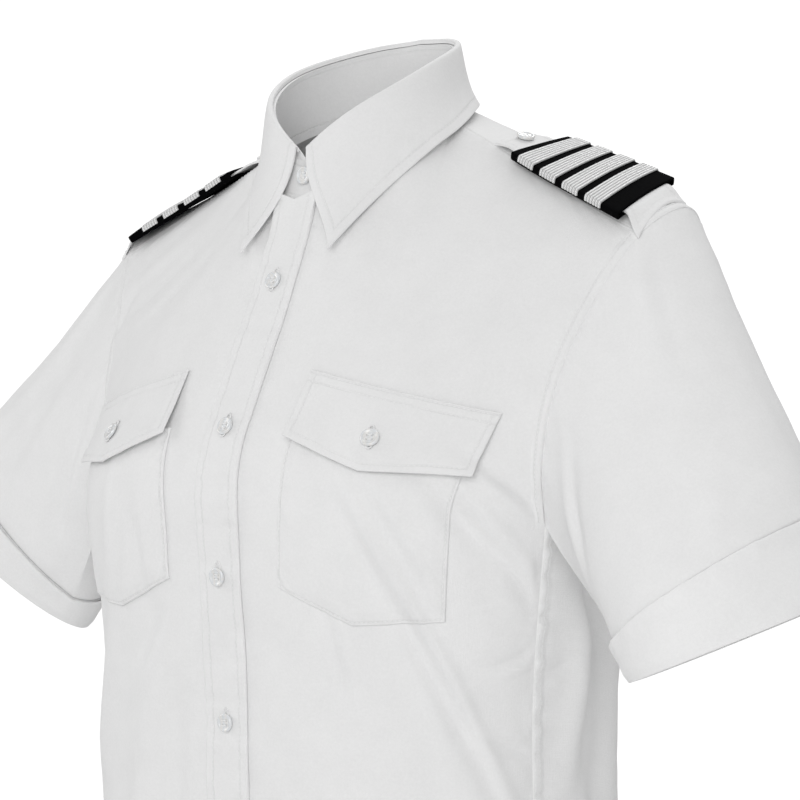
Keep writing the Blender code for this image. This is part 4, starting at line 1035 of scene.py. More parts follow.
def sewn_group():
    """Mask and depth of the groove that stitching pulls into the cloth. The mask paints shade into the
    cloth's colour along that groove, and on a sleeve a shadow line under its cuff.
    """
    name = "sewn line"
    if name in bpy.data.node_groups:
        return bpy.data.node_groups[name]
    tree, _, out = group_tree(name, (("Depth", "NodeSocketFloat"), ("Mask", "NodeSocketFloat")))
    away = link_nodes(tree, "ShaderNodeAttribute", attribute_name="sewn").outputs["Fac"]
    size = maths(tree, "ABSOLUTE", away)
    mask = link_nodes(
        tree,
        "ShaderNodeMapRange",
        {"Value": size, "From Min": 0.0, "From Max": THREAD_REACH, "To Min": 1.0, "To Max": 0.0},
        interpolation_type="SMOOTHSTEP",
    ).outputs["Result"]
    tree.links.new(maths(tree, "MULTIPLY", mask, -0.34), out.inputs["Depth"])
    tree.links.new(mask, out.inputs["Mask"])
    return tree


def blank_material(name, roughness, metallic=0.0, **sockets):
    """A material with a Principled shader whose constant sockets are set, and its tree."""
    made = bpy.data.materials.new(name)
    made.use_nodes = True
    shader = made.node_tree.nodes["Principled BSDF"]
    shader.inputs["Roughness"].default_value = roughness
    shader.inputs["Metallic"].default_value = metallic
    for key, value in sockets.items():
        shader.inputs[key.replace("_", " ")].default_value = value
    return made, made.node_tree, shader


def mixed(tree, factor, first, second):
    node = link_nodes(
        tree, "ShaderNodeMix", {"Factor": factor}, data_type="RGBA", blend_type="MIX"
    )
    for socket, colour in ((node.inputs[6], first), (node.inputs[7], second)):
        if isinstance(colour, bpy.types.NodeSocket):
            tree.links.new(colour, socket)
        else:
            socket.default_value = colour
    return node.outputs[2]


def shade(colour, by):
    return (*[part * by for part in colour[:3]], 1.0)


def cloth_material(name, colour, pitch, spread=0.045, strength=0.6, sheen=0.10, gloss=0.25):
    """Woven cloth: its colour clouded a little, with painted shade along the stitching's groove, and the
    weave as bump.
    """
    made, tree, shader = blank_material(name, 0.86, Sheen_Weight=sheen, Sheen_Roughness=0.55,
                                        Specular_IOR_Level=gloss)
    weave = link_nodes(tree, "ShaderNodeGroup", node_tree=woven_group())
    weave.inputs["Pitch"].default_value = pitch
    seam = link_nodes(tree, "ShaderNodeGroup", node_tree=sewn_group())
    cloud = graded(tree, weave.outputs["Cloud"], From_Min=0.35, From_Max=0.65)
    tone = mixed(tree, cloud, shade(colour, 1 - spread), shade(colour, 1.0))
    # Painted shade: the colour darkens where the sewn mask is, beside rows of stitches and under a
    # cuff's upper edge.
    seam_shade = maths(tree, "MULTIPLY", seam.outputs["Mask"], 0.35)
    tree.links.new(mixed(tree, seam_shade, tone, shade(colour, 0.80)), shader.inputs["Base Color"])
    height = maths(tree, "ADD", weave.outputs["Height"], seam.outputs["Depth"])
    bump(tree, shader, height, strength)
    return made


def thread_material(name, colour):
    """Sewing thread: a twist along the thread and a soft sheen."""
    made, tree, shader = blank_material(name, 0.55, Sheen_Weight=0.3, Specular_IOR_Level=0.4)
    twist = noise(tree, own_place(tree), 2400.0, 1.0)
    tree.links.new(mixed(tree, twist, shade(colour, 0.90), shade(colour, 1.04)),
                   shader.inputs["Base Color"])
    bump(tree, shader, twist, 0.4, 0.0001)
    return made


def pearl_material(name, colour):
    """Mother-of-pearl look: smooth, layered in soft bands that shift from warm to cool."""
    made, tree, shader = blank_material(name, 0.16, Coat_Weight=0.6, Coat_Roughness=0.05,
                                        Specular_IOR_Level=0.7)
    where = own_place(tree)
    bands = link_nodes(
        tree, "ShaderNodeTexWave",
        {"Vector": where, "Scale": 70.0, "Distortion": 7.0, "Detail": 2.0, "Detail Scale": 3.0},
    ).outputs["Fac"]
    cool = (colour[0] * 0.93, colour[1] * 0.97, colour[2] * 1.02, 1.0)
    tree.links.new(mixed(tree, bands, cool, shade(colour, 1.0)), shader.inputs["Base Color"])
    wear = graded(tree, noise(tree, where, 900.0, 2.0), To_Min=0.12, To_Max=0.28)
    tree.links.new(wear, shader.inputs["Roughness"])
    bump(tree, shader, bands, 0.15, 0.0002)
    return made


def braid_material(name, colour):
    """Metallic braid: bright threads laid along each rib, crossed by fine binding threads. Its colour
    follows the bump, with painted shade between the binding threads and darkest in the grooves between
    ribs, and random tone from the grain.
    """
    made, tree, shader = blank_material(name, 0.42, 0.12, Sheen_Weight=0.1)
    split = link_nodes(tree, "ShaderNodeSeparateXYZ", {0: own_map(tree)})
    binding = maths(tree, "SINE", weighted(
        tree, split.outputs[0], 2 * np.pi / BINDING_PITCH, split.outputs[1], 2 * np.pi / BINDING_SLANT))
    grain = streaks(tree, 900.0, 2600.0, 3.0)
    height = weighted(tree, binding, 0.05, grain, 0.16)
    # Painted shade: the grooves between the ribs, where the geometry's ribs meet, are painted darker.
    groove = maths(tree, "ABSOLUTE", maths(
        tree, "COSINE", maths(tree, "MULTIPLY", split.outputs[1], np.pi * BRAID_RIBS / STRIPE_WIDTH)))
    groove = maths(tree, "MULTIPLY", maths(tree, "POWER", groove, 4.0), 0.14)
    tone = graded(tree, maths(tree, "SUBTRACT", height, groove), From_Min=-0.04, From_Max=0.14)
    tree.links.new(mixed(tree, tone, shade(colour, 0.50), shade(colour, 1.0)),
                   shader.inputs["Base Color"])
    tree.links.new(graded(tree, grain, To_Min=0.28, To_Max=0.5), shader.inputs["Roughness"])
    bump(tree, shader, height, 0.8)
    return made


def looks():
    """The materials, in the colours of the panel, each made once."""
    shirt = bpy.context.scene.pilot_shirt

    def once(make, name, colour, *more, **settings):
        return bpy.data.materials.get(name) or make(name, shade(colour, 1.0), *more, **settings)

    return {
        "cloth": once(cloth_material, "woven_poplin", shirt.cloth_colour, shirt.weave_pitch),
        "thread": once(thread_material, "sewing_thread", shade(shirt.cloth_colour, 1.03)),
        "pearl": once(pearl_material, "pearl_shell", shirt.button_colour),
        "board": once(cloth_material, "woven_black", shirt.board_colour, BOARD_WEAVE, spread=0.4,
                      strength=0.8, sheen=0.0, gloss=0.02),
        "braid": once(braid_material, "ribbed_braid", shirt.braid_colour),
    }


# ---------------------------------------------------------------- the body

LOW_LENGTH = 0.485  # of the body from its hem to the underarm, and from there to the shoulder
HIGH_LENGTH = 0.190
HALF_WIDTH = 0.262
YOKE_LENGTH = 0.125
YOKE_DEPTH = 0.175
PAST_BAND = 0.10  # the u from which a front's columns keep clear of its band
SEAM_IN = -0.00009  # how far a sewn end is drawn in; less than 0 lets it out to the next piece
SEAM_ENDS = {
    "side": (np.s_[:, -1], np.s_[:, -2]), "top": (np.s_[-1], np.s_[-2]), "foot": (np.s_[0], np.s_[1]),
}


def let_out(points, *ends):
    """Lets the named ends of a grid out to their seams, in place."""
    for end in ends:
        edge, inward = SEAM_ENDS[end]
        points[edge] += unit(points[inward] - points[edge]) * SEAM_IN


def fine_levels():
    """Levels of the body, closer together at the hem and at the seam on top."""
    low = spaced(LOW_LENGTH, start="folded")
    high = 1 + spaced(HIGH_LENGTH, end="sewn")
    return np.concatenate([low, high[1:]])


def band_column(levels):
    """The u at which the front is half a band's width from the centre line, for each level."""
    low, high = np.zeros_like(levels), np.full_like(levels, 0.4)
    for _ in range(26):
        middle = (low + high) / 2
        wide = np.abs(front_surface(middle, levels)[:, 0]) > BAND_HALF
        low, high = np.where(wide, low, middle), np.where(wide, middle, high)
    return middle


def side_columns(start):
    """Shares of a half of the body, from `start` to its sewn side, with one at the neck's corner."""
    near = np.linspace(start, NECKLINE_SHARE, int((NECKLINE_SHARE - start) * HALF_WIDTH / COARSE) + 1)
    far = spaced(HALF_WIDTH * (1 - NECKLINE_SHARE), end="sewn")
    return np.concatenate([near[:-1], NECKLINE_SHARE + far * (1 - NECKLINE_SHARE)])


def body_lines(points, normals, levels, to_side, from_hem, armhole_at, side_at=()):
    """Topstitching on a front or back: round the armhole, beside the side seam and over the hem."""
    above = levels > 1.0
    lines = [line_at(points, normals, to_side, armhole_at, 1, flip=True, keep=above)]
    for depth in side_at:
        lines.append(line_at(points, normals, to_side, depth, 1, flip=True, keep=~above))
    lines.append(line_at(points, normals, from_hem, HEM_STITCH, 0))
    return lines


def nearest(*distances):
    """The distance to the nearest of several lines."""
    return np.min(np.abs(np.stack(np.broadcast_arrays(*distances))), axis=0)


def make_front(side, look):
    """A front: the dressed surface, with the armhole's felled strip and puckers beside its seams."""
    levels = fine_levels()
    band = band_column(levels)[:, None]
    steps = np.linspace(-1, 1, 9)[None]
    between = band + (PAST_BAND - band) * np.linspace(0, 1, 6)[None, 1:-1]
    plain = side_columns(PAST_BAND)[None] + band * 0
    u = np.concatenate([band * steps, between, plain], axis=1)
    points = front_surface(u, levels[:, None] + u * 0, side, dressed=True)
    facing = normals_of(points) * side
    if side < 0:
        under = 1 - ease((u - band) / (PAST_BAND - band))
        points = points - facing * (UNDERLAP * under)[..., None]
        points[-1] = np.where(under[-1][:, None] > 0, points[-1] - [0, 0, NECK_CLEAR * 2], points[-1])
    run = arc(points, 1)
    to_side = run[:, -1:] - run
    from_hem = arc(points, 0)
    to_top = from_hem[-1:] - from_hem
    v = levels[:, None] + u * 0
    on_armhole = ease((v - 1.0) / 0.02)
    height = felled(to_side) * on_armhole
    height = height + seam_pucker(from_hem, to_side) * 0.6 * ease(to_side / 0.003)
    height = height + seam_pucker(from_hem[:, -1:] * 0 + run, from_hem) * 0.5 * ease(from_hem / 0.002)
    height = height + seam_pucker(run + 0.3, to_top) * 0.5 * ease(to_top / 0.003) * (u > NECKLINE_SHARE)
    height = height - rolled(from_hem, CLOTH)
    points = points + facing * height[..., None]
    let_out(points, "side", "top")
    normals = normals_of(points) * side
    inner = points - normals * CLOTH
    sewn = nearest(np.where(v > 1.0, to_side - FELL_STITCH, PLAIN), from_hem - HEM_STITCH)
    uv = np.stack([run, from_hem], axis=-1)
    lines = body_lines(points, normals, levels, to_side, from_hem, FELL_STITCH)
    points, inner, uv, sewn = turned(side, points, inner, uv, sewn)
    cloth_piece(sided("front", side), points, inner, look, ["yoke", "back"], uv=uv, sewn=sewn)
    return lines


def make_back(look):
    """The back, whole: the strip of the felled side seams lies on it, and of the armholes."""
    levels = fine_levels()
    u = side_columns(0.0)[None] + levels[:, None] * 0
    v = levels[:, None] + u * 0
    halves, lines, maps, marks = [], [], [], []
    for side in (1, -1):
        points = back_surface(u, v, side)
        facing = -normals_of(points) * side
        run = arc(points, 1)
        to_side = run[:, -1:] - run
        from_hem = arc(points, 0)
        to_top = from_hem[-1:] - from_hem
        height = felled(to_side)
        height = height + seam_pucker(from_hem, to_side - 0.005) * 1.5 * ease(to_side / 0.003)
        height = height + seam_pucker(run, from_hem) * 0.5 * ease(from_hem / 0.002)
        height = height + seam_pucker(run + 0.1, to_top) * 0.6 * ease(to_top / 0.003)
        height = height * ease(run / 0.004) - rolled(from_hem, CLOTH)
        points = points + facing * height[..., None]
        let_out(points, "side", "top")
        normals = -normals_of(points) * side
        lines += body_lines(
            points, normals, levels, to_side, from_hem, FELL_STITCH, (0.0016, FELL_WIDTH - 0.0014)
        )
        sewn = nearest(
            to_side - FELL_WIDTH + 0.0015,
            np.where(v < 1.0, to_side - 0.0016, PLAIN),
            from_hem - HEM_STITCH,
        )
        halves.append(points)
        maps.append(np.stack([run * side, from_hem], axis=-1))
        marks.append(sewn)
    outer = np.concatenate([halves[0][:, ::-1], halves[1][:, 1:]], axis=1)
    uv = np.concatenate([maps[0][:, ::-1], maps[1][:, 1:]], axis=1)
    sewn = np.concatenate([marks[0][:, ::-1], marks[1][:, 1:]], axis=1)
    inner = outer - normals_of(outer) * CLOTH
    cloth_piece("back", outer, inner, look, ["yoke"], uv=uv, sewn=sewn)
    return lines


def make_yoke(look):
    """The yoke, its two halves joined on the centre line, topstitched along both of its seams."""
    s_line = spaced(YOKE_LENGTH, end="sewn")
    t_line = np.concatenate([
        0.5 * spaced(YOKE_DEPTH / 2, start="sewn"), 0.5 + 0.5 * spaced(YOKE_DEPTH / 2, end="sewn")[1:]
    ])
    s, t = np.meshgrid(s_line, t_line[::-1])
    plain = yoke_surface(s, t)
    fade = ease((1 - s) / 0.1) * ease((1 - t) / 0.1) * ease(t / 0.1) * ease(s / 0.15)
    facing = normals_of(plain)
    points = plain + facing * (uneven(plain, 0.4) * fade)[..., None]
    run, down = arc(points, 1), arc(points, 0)
    to_arm = run[:, -1:] - run
    to_back = down[-1:] - down
    height = felled(to_arm)
    height = height + seam_pucker(down, to_arm) * 0.5 * ease(to_arm / 0.003)
    height = height + 0.00025 * ease(down / 0.0012) * ease(to_back / 0.0012)
    height = height * ease(s / 0.05)
    points = points + facing * height[..., None]
    let_out(points, "side", "foot", "top")
    normals = normals_of(points)
    sewn = nearest(to_arm - FELL_STITCH, down - EDGE_STITCH, to_back - EDGE_STITCH)
    lines = [
        line_at(points, normals, down, EDGE_STITCH, 0),
        line_at(points, normals, to_back, EDGE_STITCH, 0, flip=True),
        line_at(points, normals, to_arm, FELL_STITCH, 1, flip=True),
    ]
    lines += other_side(lines)
    outer = np.concatenate([points.reshape(-1, 3), mirrored(points).reshape(-1, 3)])
    inner = points - normals * CLOTH
    inner = np.concatenate([inner.reshape(-1, 3), mirrored(inner).reshape(-1, 3)])
    rows, columns = points.shape[:2]
    corners = grid_corners(rows, columns, False)
    quads = corners[..., 0] * columns + corners[..., 1]
    faces = np.concatenate([quads, quads + rows * columns])
    here = np.stack([run, down], axis=-1)
    there = np.stack([-run, down], axis=-1)[:, ::-1]
    spots = np.concatenate([here.reshape(-1, 2), there.reshape(-1, 2)])
    marks = np.concatenate([sewn.reshape(-1), sewn[:, ::-1].reshape(-1)])
    _, first, where = np.unique(np.round(outer, 6), axis=0, return_index=True, return_inverse=True)
    merged = where.reshape(-1)[faces]
    corner_map = spots[faces]
    outer, inner, marks = outer[first], inner[first], marks[first]
    inner[np.abs(outer[:, 0]) < 1e-6, 0] = 0
    edges = np.concatenate([merged[:, [k, (k + 1) % 4]] for k in range(4)])
    edge_map = np.concatenate([corner_map[:, [k, (k + 1) % 4]] for k in range(4)])
    _, index, uses = np.unique(np.sort(edges, axis=1), axis=0, return_index=True, return_counts=True)
    border, border_map = edges[index[uses == 1]], edge_map[index[uses == 1]]
    count = len(outer)
    rim = np.stack([border[:, 1], border[:, 0], border[:, 0] + count, border[:, 1] + count], axis=-1)
    rim_map = border_map[:, [1, 0, 0, 1]]
    faces = np.concatenate([merged, merged[:, ::-1] + count, rim])
    uv = np.concatenate([corner_map, corner_map[:, ::-1], rim_map])
    piece = add_mesh("yoke_cloth", np.concatenate([outer, inner]), faces, look, uv, np.tile(marks, 2))
    declare("yoke")
    return lines


def make_band(look):
    """The front band, folded at both edges and stitched along each, a little wavy between buttons."""
    levels = fine_levels()
    band = band_column(levels)[:, None]
    steps = 2 * spaced(2 * BAND_HALF, "folded", "folded", coarse=0.0022)[None] - 1
    u = band * steps
    v = levels[:, None] + u * 0
    base = front_surface(u, v, 1, dressed=True)
    base[-1] = base[-2] + (base[-1] - base[-2]) * 0.9
    facing = normals_of(base)
    run, up = arc(base, 1), arc(base, 0)
    to_edge = np.minimum(run, run[:, -1:] - run)
    middle = base[..., 2] - BAND_BUTTON_TOP
    slack = np.sin(middle * np.pi / BAND_BUTTON_PITCH) ** 2
    lift = 0.0009 * slack * (1 - np.cos(np.pi * steps)) / 2 * ease(up / 0.02)
    height = LAY_GAP + BAND_THICK + lift
    height = height + seam_pucker(up, to_edge - BAND_STITCH) * 0.8
    height = height - 0.00012 * hump(to_edge - BAND_STITCH, 0.0009)
    outer = base + facing * (height - rolled(to_edge, BAND_THICK))[..., None]
    inner = base + facing * LAY_GAP
    normals = normals_of(outer)
    sewn = nearest(to_edge - BAND_STITCH)
    lines = [line_at(outer, normals, run, BAND_STITCH, 1)]
    lines.append(line_at(outer, normals, run[:, -1:] - run, BAND_STITCH, 1, flip=True))
    cloth_piece("front_band", outer, inner, look, ["front_left_cloth"], "laid",
                uv=np.stack([run, up], axis=-1), sewn=sewn)
    return lines


# ---------------------------------------------------------------- sleeves and cuffs

ROUND_COLUMNS = 176
LEDGE = 0.0018  # the sleeve's rows are close together this far on each side of the cuff's upper edge
UNDER_CUFF = 0.0008  # how far the sleeve is pressed in under its cuff
LEDGE_GROOVE = 0.0009  # and how deep it sinks beside the cuff's upper edge
CAP_GROOVE = 0.00015  # how deep the sleeve sinks beside the armhole


def round_levels():
    """Places round the armhole, the same distance apart, from the underarm round to it again."""
    dense = np.linspace(0, UNDERARM_AT, 900)
    run = arc(armhole(dense), 0)
    return np.interp(np.linspace(0, run[-1], ROUND_COLUMNS + 1)[:-1], run, dense)


def arm_place(levels):
    """How far round the arm from its top, in metres: positive towards the front."""
    behind = (TIP_AT - levels) / (UNDERARM_AT - TIP_AT)
    turn = np.where(levels <= TIP_AT, (TIP_AT - levels) / TIP_AT, behind) * np.pi
    return turn * ARM_ROUND_RADIUS


def make_sleeve(side, look):
    """A sleeve: the surface from the armhole to the hem, eased in at the cap, with its creases and a
    painted shadow line just above its cuff's upper edge.
    """
    w_line = spaced(ARM_LENGTH, start="sewn", coarse=0.0026)
    near_cuff = 1 - CUFF_SHARE + np.linspace(-LEDGE, LEDGE, 7) / ARM_LENGTH
    w_line = w_line[np.abs(w_line - near_cuff[3]) > (LEDGE + 0.0006) / ARM_LENGTH]
    levels, w = np.meshgrid(round_levels(), np.sort(np.concatenate([w_line, near_cuff])))
    plain = sleeve_surface(levels, w, side)
    facing = closed_normals(plain[::-1])[::-1]
    to_cuff, to_hem = (w - near_cuff[3]) * ARM_LENGTH, (1 - w) * ARM_LENGTH
    around = arm_place(levels)
    whole = np.pi * ARM_ROUND_RADIUS
    fade = ease(w / 0.10) * ease((1 - CUFF_SHARE - w) / 0.10) * ease((whole - np.abs(around)) / 0.012)
    height = (crease_height(around, w * ARM_LENGTH, SLEEVE_CREASES[side]) + uneven(plain)) * fade
    ring = np.concatenate([plain, plain[:, :1]], axis=1)
    run = arc(ring, 1)
    down = arc(plain, 0)
    height = height + seam_pucker(run[:1, :-1], down) * 0.8 * ease(down / 0.002)
    height = height - CAP_GROOVE * hump(down, 0.0012)
    height = height - UNDER_CUFF * ease(to_cuff / 0.008) - LEDGE_GROOVE * hump(to_cuff, GROOVE_WIDTH)
    outer = plain + facing * height[..., None]
    let_out(outer, "foot")
    normals = closed_normals(outer[::-1])[::-1]
    inner = outer - normals * (CLOTH * (0.5 + 0.5 * ease(to_hem / 0.004)))[..., None]
    down = np.concatenate([down, down[:, :1]], axis=1)
    uv = np.stack([run[len(run) // 2][None] + run * 0, down], axis=-1)
    flip = [side, 1, 1]
    outer, inner, to_cuff, uv = turned(side, outer * flip, inner * flip, to_cuff, uv)
    # Its sewn distance runs to the cuff's upper edge, not to stitching: there the mask paints a shadow
    # line on the sleeve.
    cloth_piece(sided("sleeve", side), outer[::-1], inner[::-1], look, [sided("front", side) + "_cloth"],
                closed=True, uv=uv[::-1], sewn=to_cuff[::-1] + CUFF_SHADOW_LINE)


def make_cuff(side, look):
    """The turned-up cuff: a double band over the sleeve's end, standing off it at its upper edge."""
    share = spaced(CUFF_CUT, "folded", "folded", coarse=0.0022)
    levels, w = np.meshgrid(round_levels(), 1 - CUFF_SHARE + CUFF_SHARE * share)
    plain = sleeve_surface(levels, w, side)
    facing = closed_normals(plain[::-1])[::-1]
    ring = np.concatenate([plain, plain[:, :1]], axis=1)
    run, down = arc(ring, 1), arc(plain, 0)
    to_top, to_hem = down, down[-1:] - down
    waves = np.sin(run[:1, :-1] * 2 * np.pi / CUFF_WAVE)
    loose = hump(to_top, CUFF_LOOSE) * (CUFF_STANDS + CUFF_WAVES * waves)
    height = LAY_GAP + CUFF_THICK + loose + uneven(plain, 0.35)
    height = height + seam_pucker(run[:1, :-1], to_top) * 0.6
    height = height - rolled(to_top, CUFF_THICK) - rolled(to_hem, CUFF_THICK - HEM_THINNED)
    outer = plain + facing * (height - HEM_THINNED * (1 - ease(to_hem / 0.006)))[..., None]
    inner = plain + facing * (LAY_GAP + loose)[..., None]
    down = np.concatenate([down, down[:, :1]], axis=1)
    uv = np.stack([run, down], axis=-1)
    outer, inner, uv = turned(side, outer * [side, 1, 1], inner * [side, 1, 1], uv)
    cloth_piece(sided("cuff", side), outer[::-1], inner[::-1], look, [sided("sleeve", side) + "_cloth"],
                "folded", closed=True, uv=uv[::-1])


# ---------------------------------------------------------------- the collar

def make_stand(look):
    """The band round the neck; its left end laps over its right end at the front."""
    turn = np.linspace(-STAND_LAP, 360 + STAND_LAP, 220)
    half = np.where(turn > 180, 360 - turn, turn)
    low = rim_height(np.abs(half), "seam") - STAND_BELOW
    high = rim_height(np.abs(half), "fold") - STAND_SHORT
    high = high - STAND_FRONT_DROP * ease((np.abs(turn - 180) - 172) / 20)
    share = spaced(0.042, "sewn", "folded", coarse=0.0025)[:, None]
    radius = STAND_BASE_RADIUS + (STAND_TOP_RADIUS - STAND_BASE_RADIUS) * share
    radius = radius - STAND_LAP_IN * ease((turn - 330) / 25)
    x, y = around_neck(turn, radius)
    outer = np.stack([x, y, low + (high - low) * share], axis=-1)
    normals = normals_of(outer)
    inner = outer - normals * STAND_THICK
    down = arc(outer, 0)
    seams = nearest(down - STAND_BELOW - 0.002, down[-1:] - down - 0.004)
    lines = [line_at(inner, -normals, down, STAND_BELOW + 0.002, 0)]
    cloth_piece("collar_stand", outer, inner, look, ["yoke_cloth"], "folded", sewn=seams)
    return lines


def make_leaf(look):
    """The leaf: up from the stand's top, over in a small roll, and down outside it, edge stitched."""
    half_share = spaced(0.245, start="folded", coarse=0.0026)
    share = np.concatenate([half_share, half_share[-2::-1]])
    side = np.where(np.arange(len(share)) < len(share) // 2, 1.0, -1.0)
    turn, x, y, z = np.moveaxis(through(LEAF_EDGE, share, "turn x y z", key="share"), -1, 0)
    edge = np.stack([x, y, z], axis=-1)
    fold_x, fold_y = around_neck(turn, STAND_TOP_RADIUS)
    out = np.stack([np.sin(np.radians(turn)), -np.cos(np.radians(turn)), turn * 0], axis=-1)
    top = np.stack([fold_x, fold_y, rim_height(turn, "fold")], axis=-1)
    up = np.array([0, 0, 1.0])
    rows = [top - up * 0.0030 - out * 0.0002]
    for roll in np.radians(np.linspace(180, 12, 9)):
        rows.append(top + out * (0.0017 + 0.0019 * np.cos(roll))
                    + up * (0.0014 * np.sin(roll) - 0.0012))
    start = top - up * 0.0009 + out * 0.0036
    fall = np.linalg.norm(edge - start, axis=-1, keepdims=True)
    lead = start + (out * 0.22 - up) * fall * 0.35
    trail = edge - unit(edge - start + out * 0.3 * fall) * fall * 0.35
    falling = spaced(0.055, end="folded", coarse=0.0024)[1:]
    for t in falling:
        rows.append(bezier(start, lead, trail, edge, np.full(len(share), t)))
    fallen = np.concatenate([np.zeros(10), falling])[:, None]
    outer = np.array(rows) * np.stack([side, side * 0 + 1, side * 0 + 1], axis=-1)
    outer[..., 0] += LEAF_SHIFT * fallen * np.clip(1 - share / 0.3, 0, 1) ** 2
    border = np.concatenate([outer[10:, 0], outer[-1, 1:-1], outer[::-1][: -9, -1]])
    away = edge_distance(outer, border)
    outer = outer[::-1]
    away = away[::-1]
    normals = normals_of(outer)
    run = arc(outer, 1)
    height = seam_pucker(run[:1] + 0.02, away - COLLAR_STITCH) * 0.35 * fallen[::-1]
    height = height + uneven(outer, 0.25) * fallen[::-1] - rolled(away, LEAF_THICK)
    height = height - GROOVE * hump(away - COLLAR_STITCH, 0.0009)
    inner = outer - normals * LEAF_THICK
    outer = outer + normals * height[..., None]
    normals = normals_of(outer)
    rows_kept = len(falling)
    lines = [line_at(outer[:rows_kept], normals[:rows_kept], away[:rows_kept], COLLAR_STITCH, 0)]
    for flip in (False, True):
        lines.append(line_at(outer, normals, away, COLLAR_STITCH, 1, flip=flip,
                             keep=(np.arange(len(away)) < rows_kept - 1)))
    middle = away.shape[1] // 2
    down = arc(outer[:, middle : middle + 1], 0)
    uv = np.stack([run[:1] + down * 0, down + run[:1] * 0], axis=-1)
    cloth_piece("collar_leaf", outer, inner, look, ["collar_stand_cloth"], "folded", uv=uv,
                sewn=nearest(away - COLLAR_STITCH))
    return lines


# ---------------------------------------------------------------- pockets and flaps

def panel_places(corners, columns, rows, point):
    """Places of a piece laid out between four corners seen from the front, pointed below."""
    inner_top, outer_top, inner_low, outer_low = [np.array([c.x, c.z]) for c in corners]
    a, b = columns[None, :, None], rows[:, None, None]
    place = (1 - b) * ((1 - a) * inner_low + a * outer_low) + b * ((1 - a) * inner_top + a * outer_top)
    return place - np.array([0, 1]) * point * (1 - b) * (1 - np.abs(2 * a - 1))


def on_front(places, side):
    """Points of the dressed front at places seen from the front, and its plain facing there."""
    at = place_on(front_surface, [0, 2], places, (0.5, 1.1))
    base = front_surface(at[..., 0], at[..., 1], side, dressed=True)
    return base, surface_normals(lambda u, v: front_surface(u, v, side), at) * side


def halves(length):
    """Shares across a pointed piece, with a column at its middle."""
    half = spaced(length / 2, start="folded", coarse=0.0025) / 2
    return np.concatenate([half, 1 - half[-2::-1]])


def finish_panel(node, inner, outer, side, look, sewn, rests_on, held):
    """A pocket or flap from its grids, its threads straight down it."""
    uv = np.stack([arc(outer, 1), arc(outer, 0)], axis=-1)
    uv[..., 0] = uv[len(uv) // 2, :, 0][None]
    outer, inner, uv, sewn = turned(side, outer, inner, uv, sewn)
    cloth_piece(node, outer, inner, look, rests_on, held, uv=uv, sewn=sewn)


def make_pocket(side, look):
    """A patch pocket: flat at its stitched sides and foot, standing off at its middle and mouth."""
    columns = halves(0.100)
    rows = spaced(0.098, "folded", "folded", coarse=0.0025)
    base, normal = on_front(panel_places(POCKET, columns, rows, POCKET_POINT), side)
    a, b = np.meshgrid(columns, rows)
    sides = np.concatenate([base[::-1, 0], base[0, 1:], base[1:, -1]])
    away = edge_distance(base, sides)
    full = POCKET_FULL * np.sin(np.pi * a) * np.sin(np.pi * b) ** 0.8
    mouth = 0.0010 * np.sin(np.pi * a) * ease((b - 0.6) / 0.4)
    height = 0.0003 + (POCKET_GAP - 0.0003) * ease(away / 0.012) + full + mouth
    ply = POCKET_THICK + 0.0002 * (1 - ease((away - 0.009) / 0.0015))
    pucker = seam_pucker(arc(base, 0) + arc(base, 1), away - EDGE_STITCH) * 0.7
    groove = GROOVE * hump(away - EDGE_STITCH, GROOVE_WIDTH)
    inner = base + normal * height[..., None]
    ply = ply + pucker * ease(away / 0.002) - groove - rolled(away, POCKET_THICK)
    outer = inner + normal * ply[..., None]
    normals = normals_of(outer) * side
    to_foot = edge_distance(base, base[0])
    lines = [line_at(outer, normals, to_foot, EDGE_STITCH, 0, keep=away.max(axis=0) > EDGE_STITCH)]
    run = arc(base, 1)
    lines.append(line_at(outer, normals, run, EDGE_STITCH, 1))
    lines.append(line_at(outer, normals, run[:, -1:] - run, EDGE_STITCH, 1, flip=True))
    finish_panel(sided("pocket", side), inner, outer, side, look, nearest(away - EDGE_STITCH),
                 [sided("front", side) + "_cloth"], "laid")
    return lines


def flap_grid(side, columns, rows):
    """The flap's underside, its facing and its places, rising from its sewn top to its free edge."""
    base, normal = on_front(panel_places(FLAP, columns, rows, FLAP_POINT), side)
    a, b = np.meshgrid(columns, rows)
    curl = 0.0008 * np.abs(2 * a - 1) ** 2 * (1 - b)
    height = 2 * LAY_GAP + FLAP_LIFT * (1 - b) ** 1.5 - curl
    return base + normal * height[..., None], normal


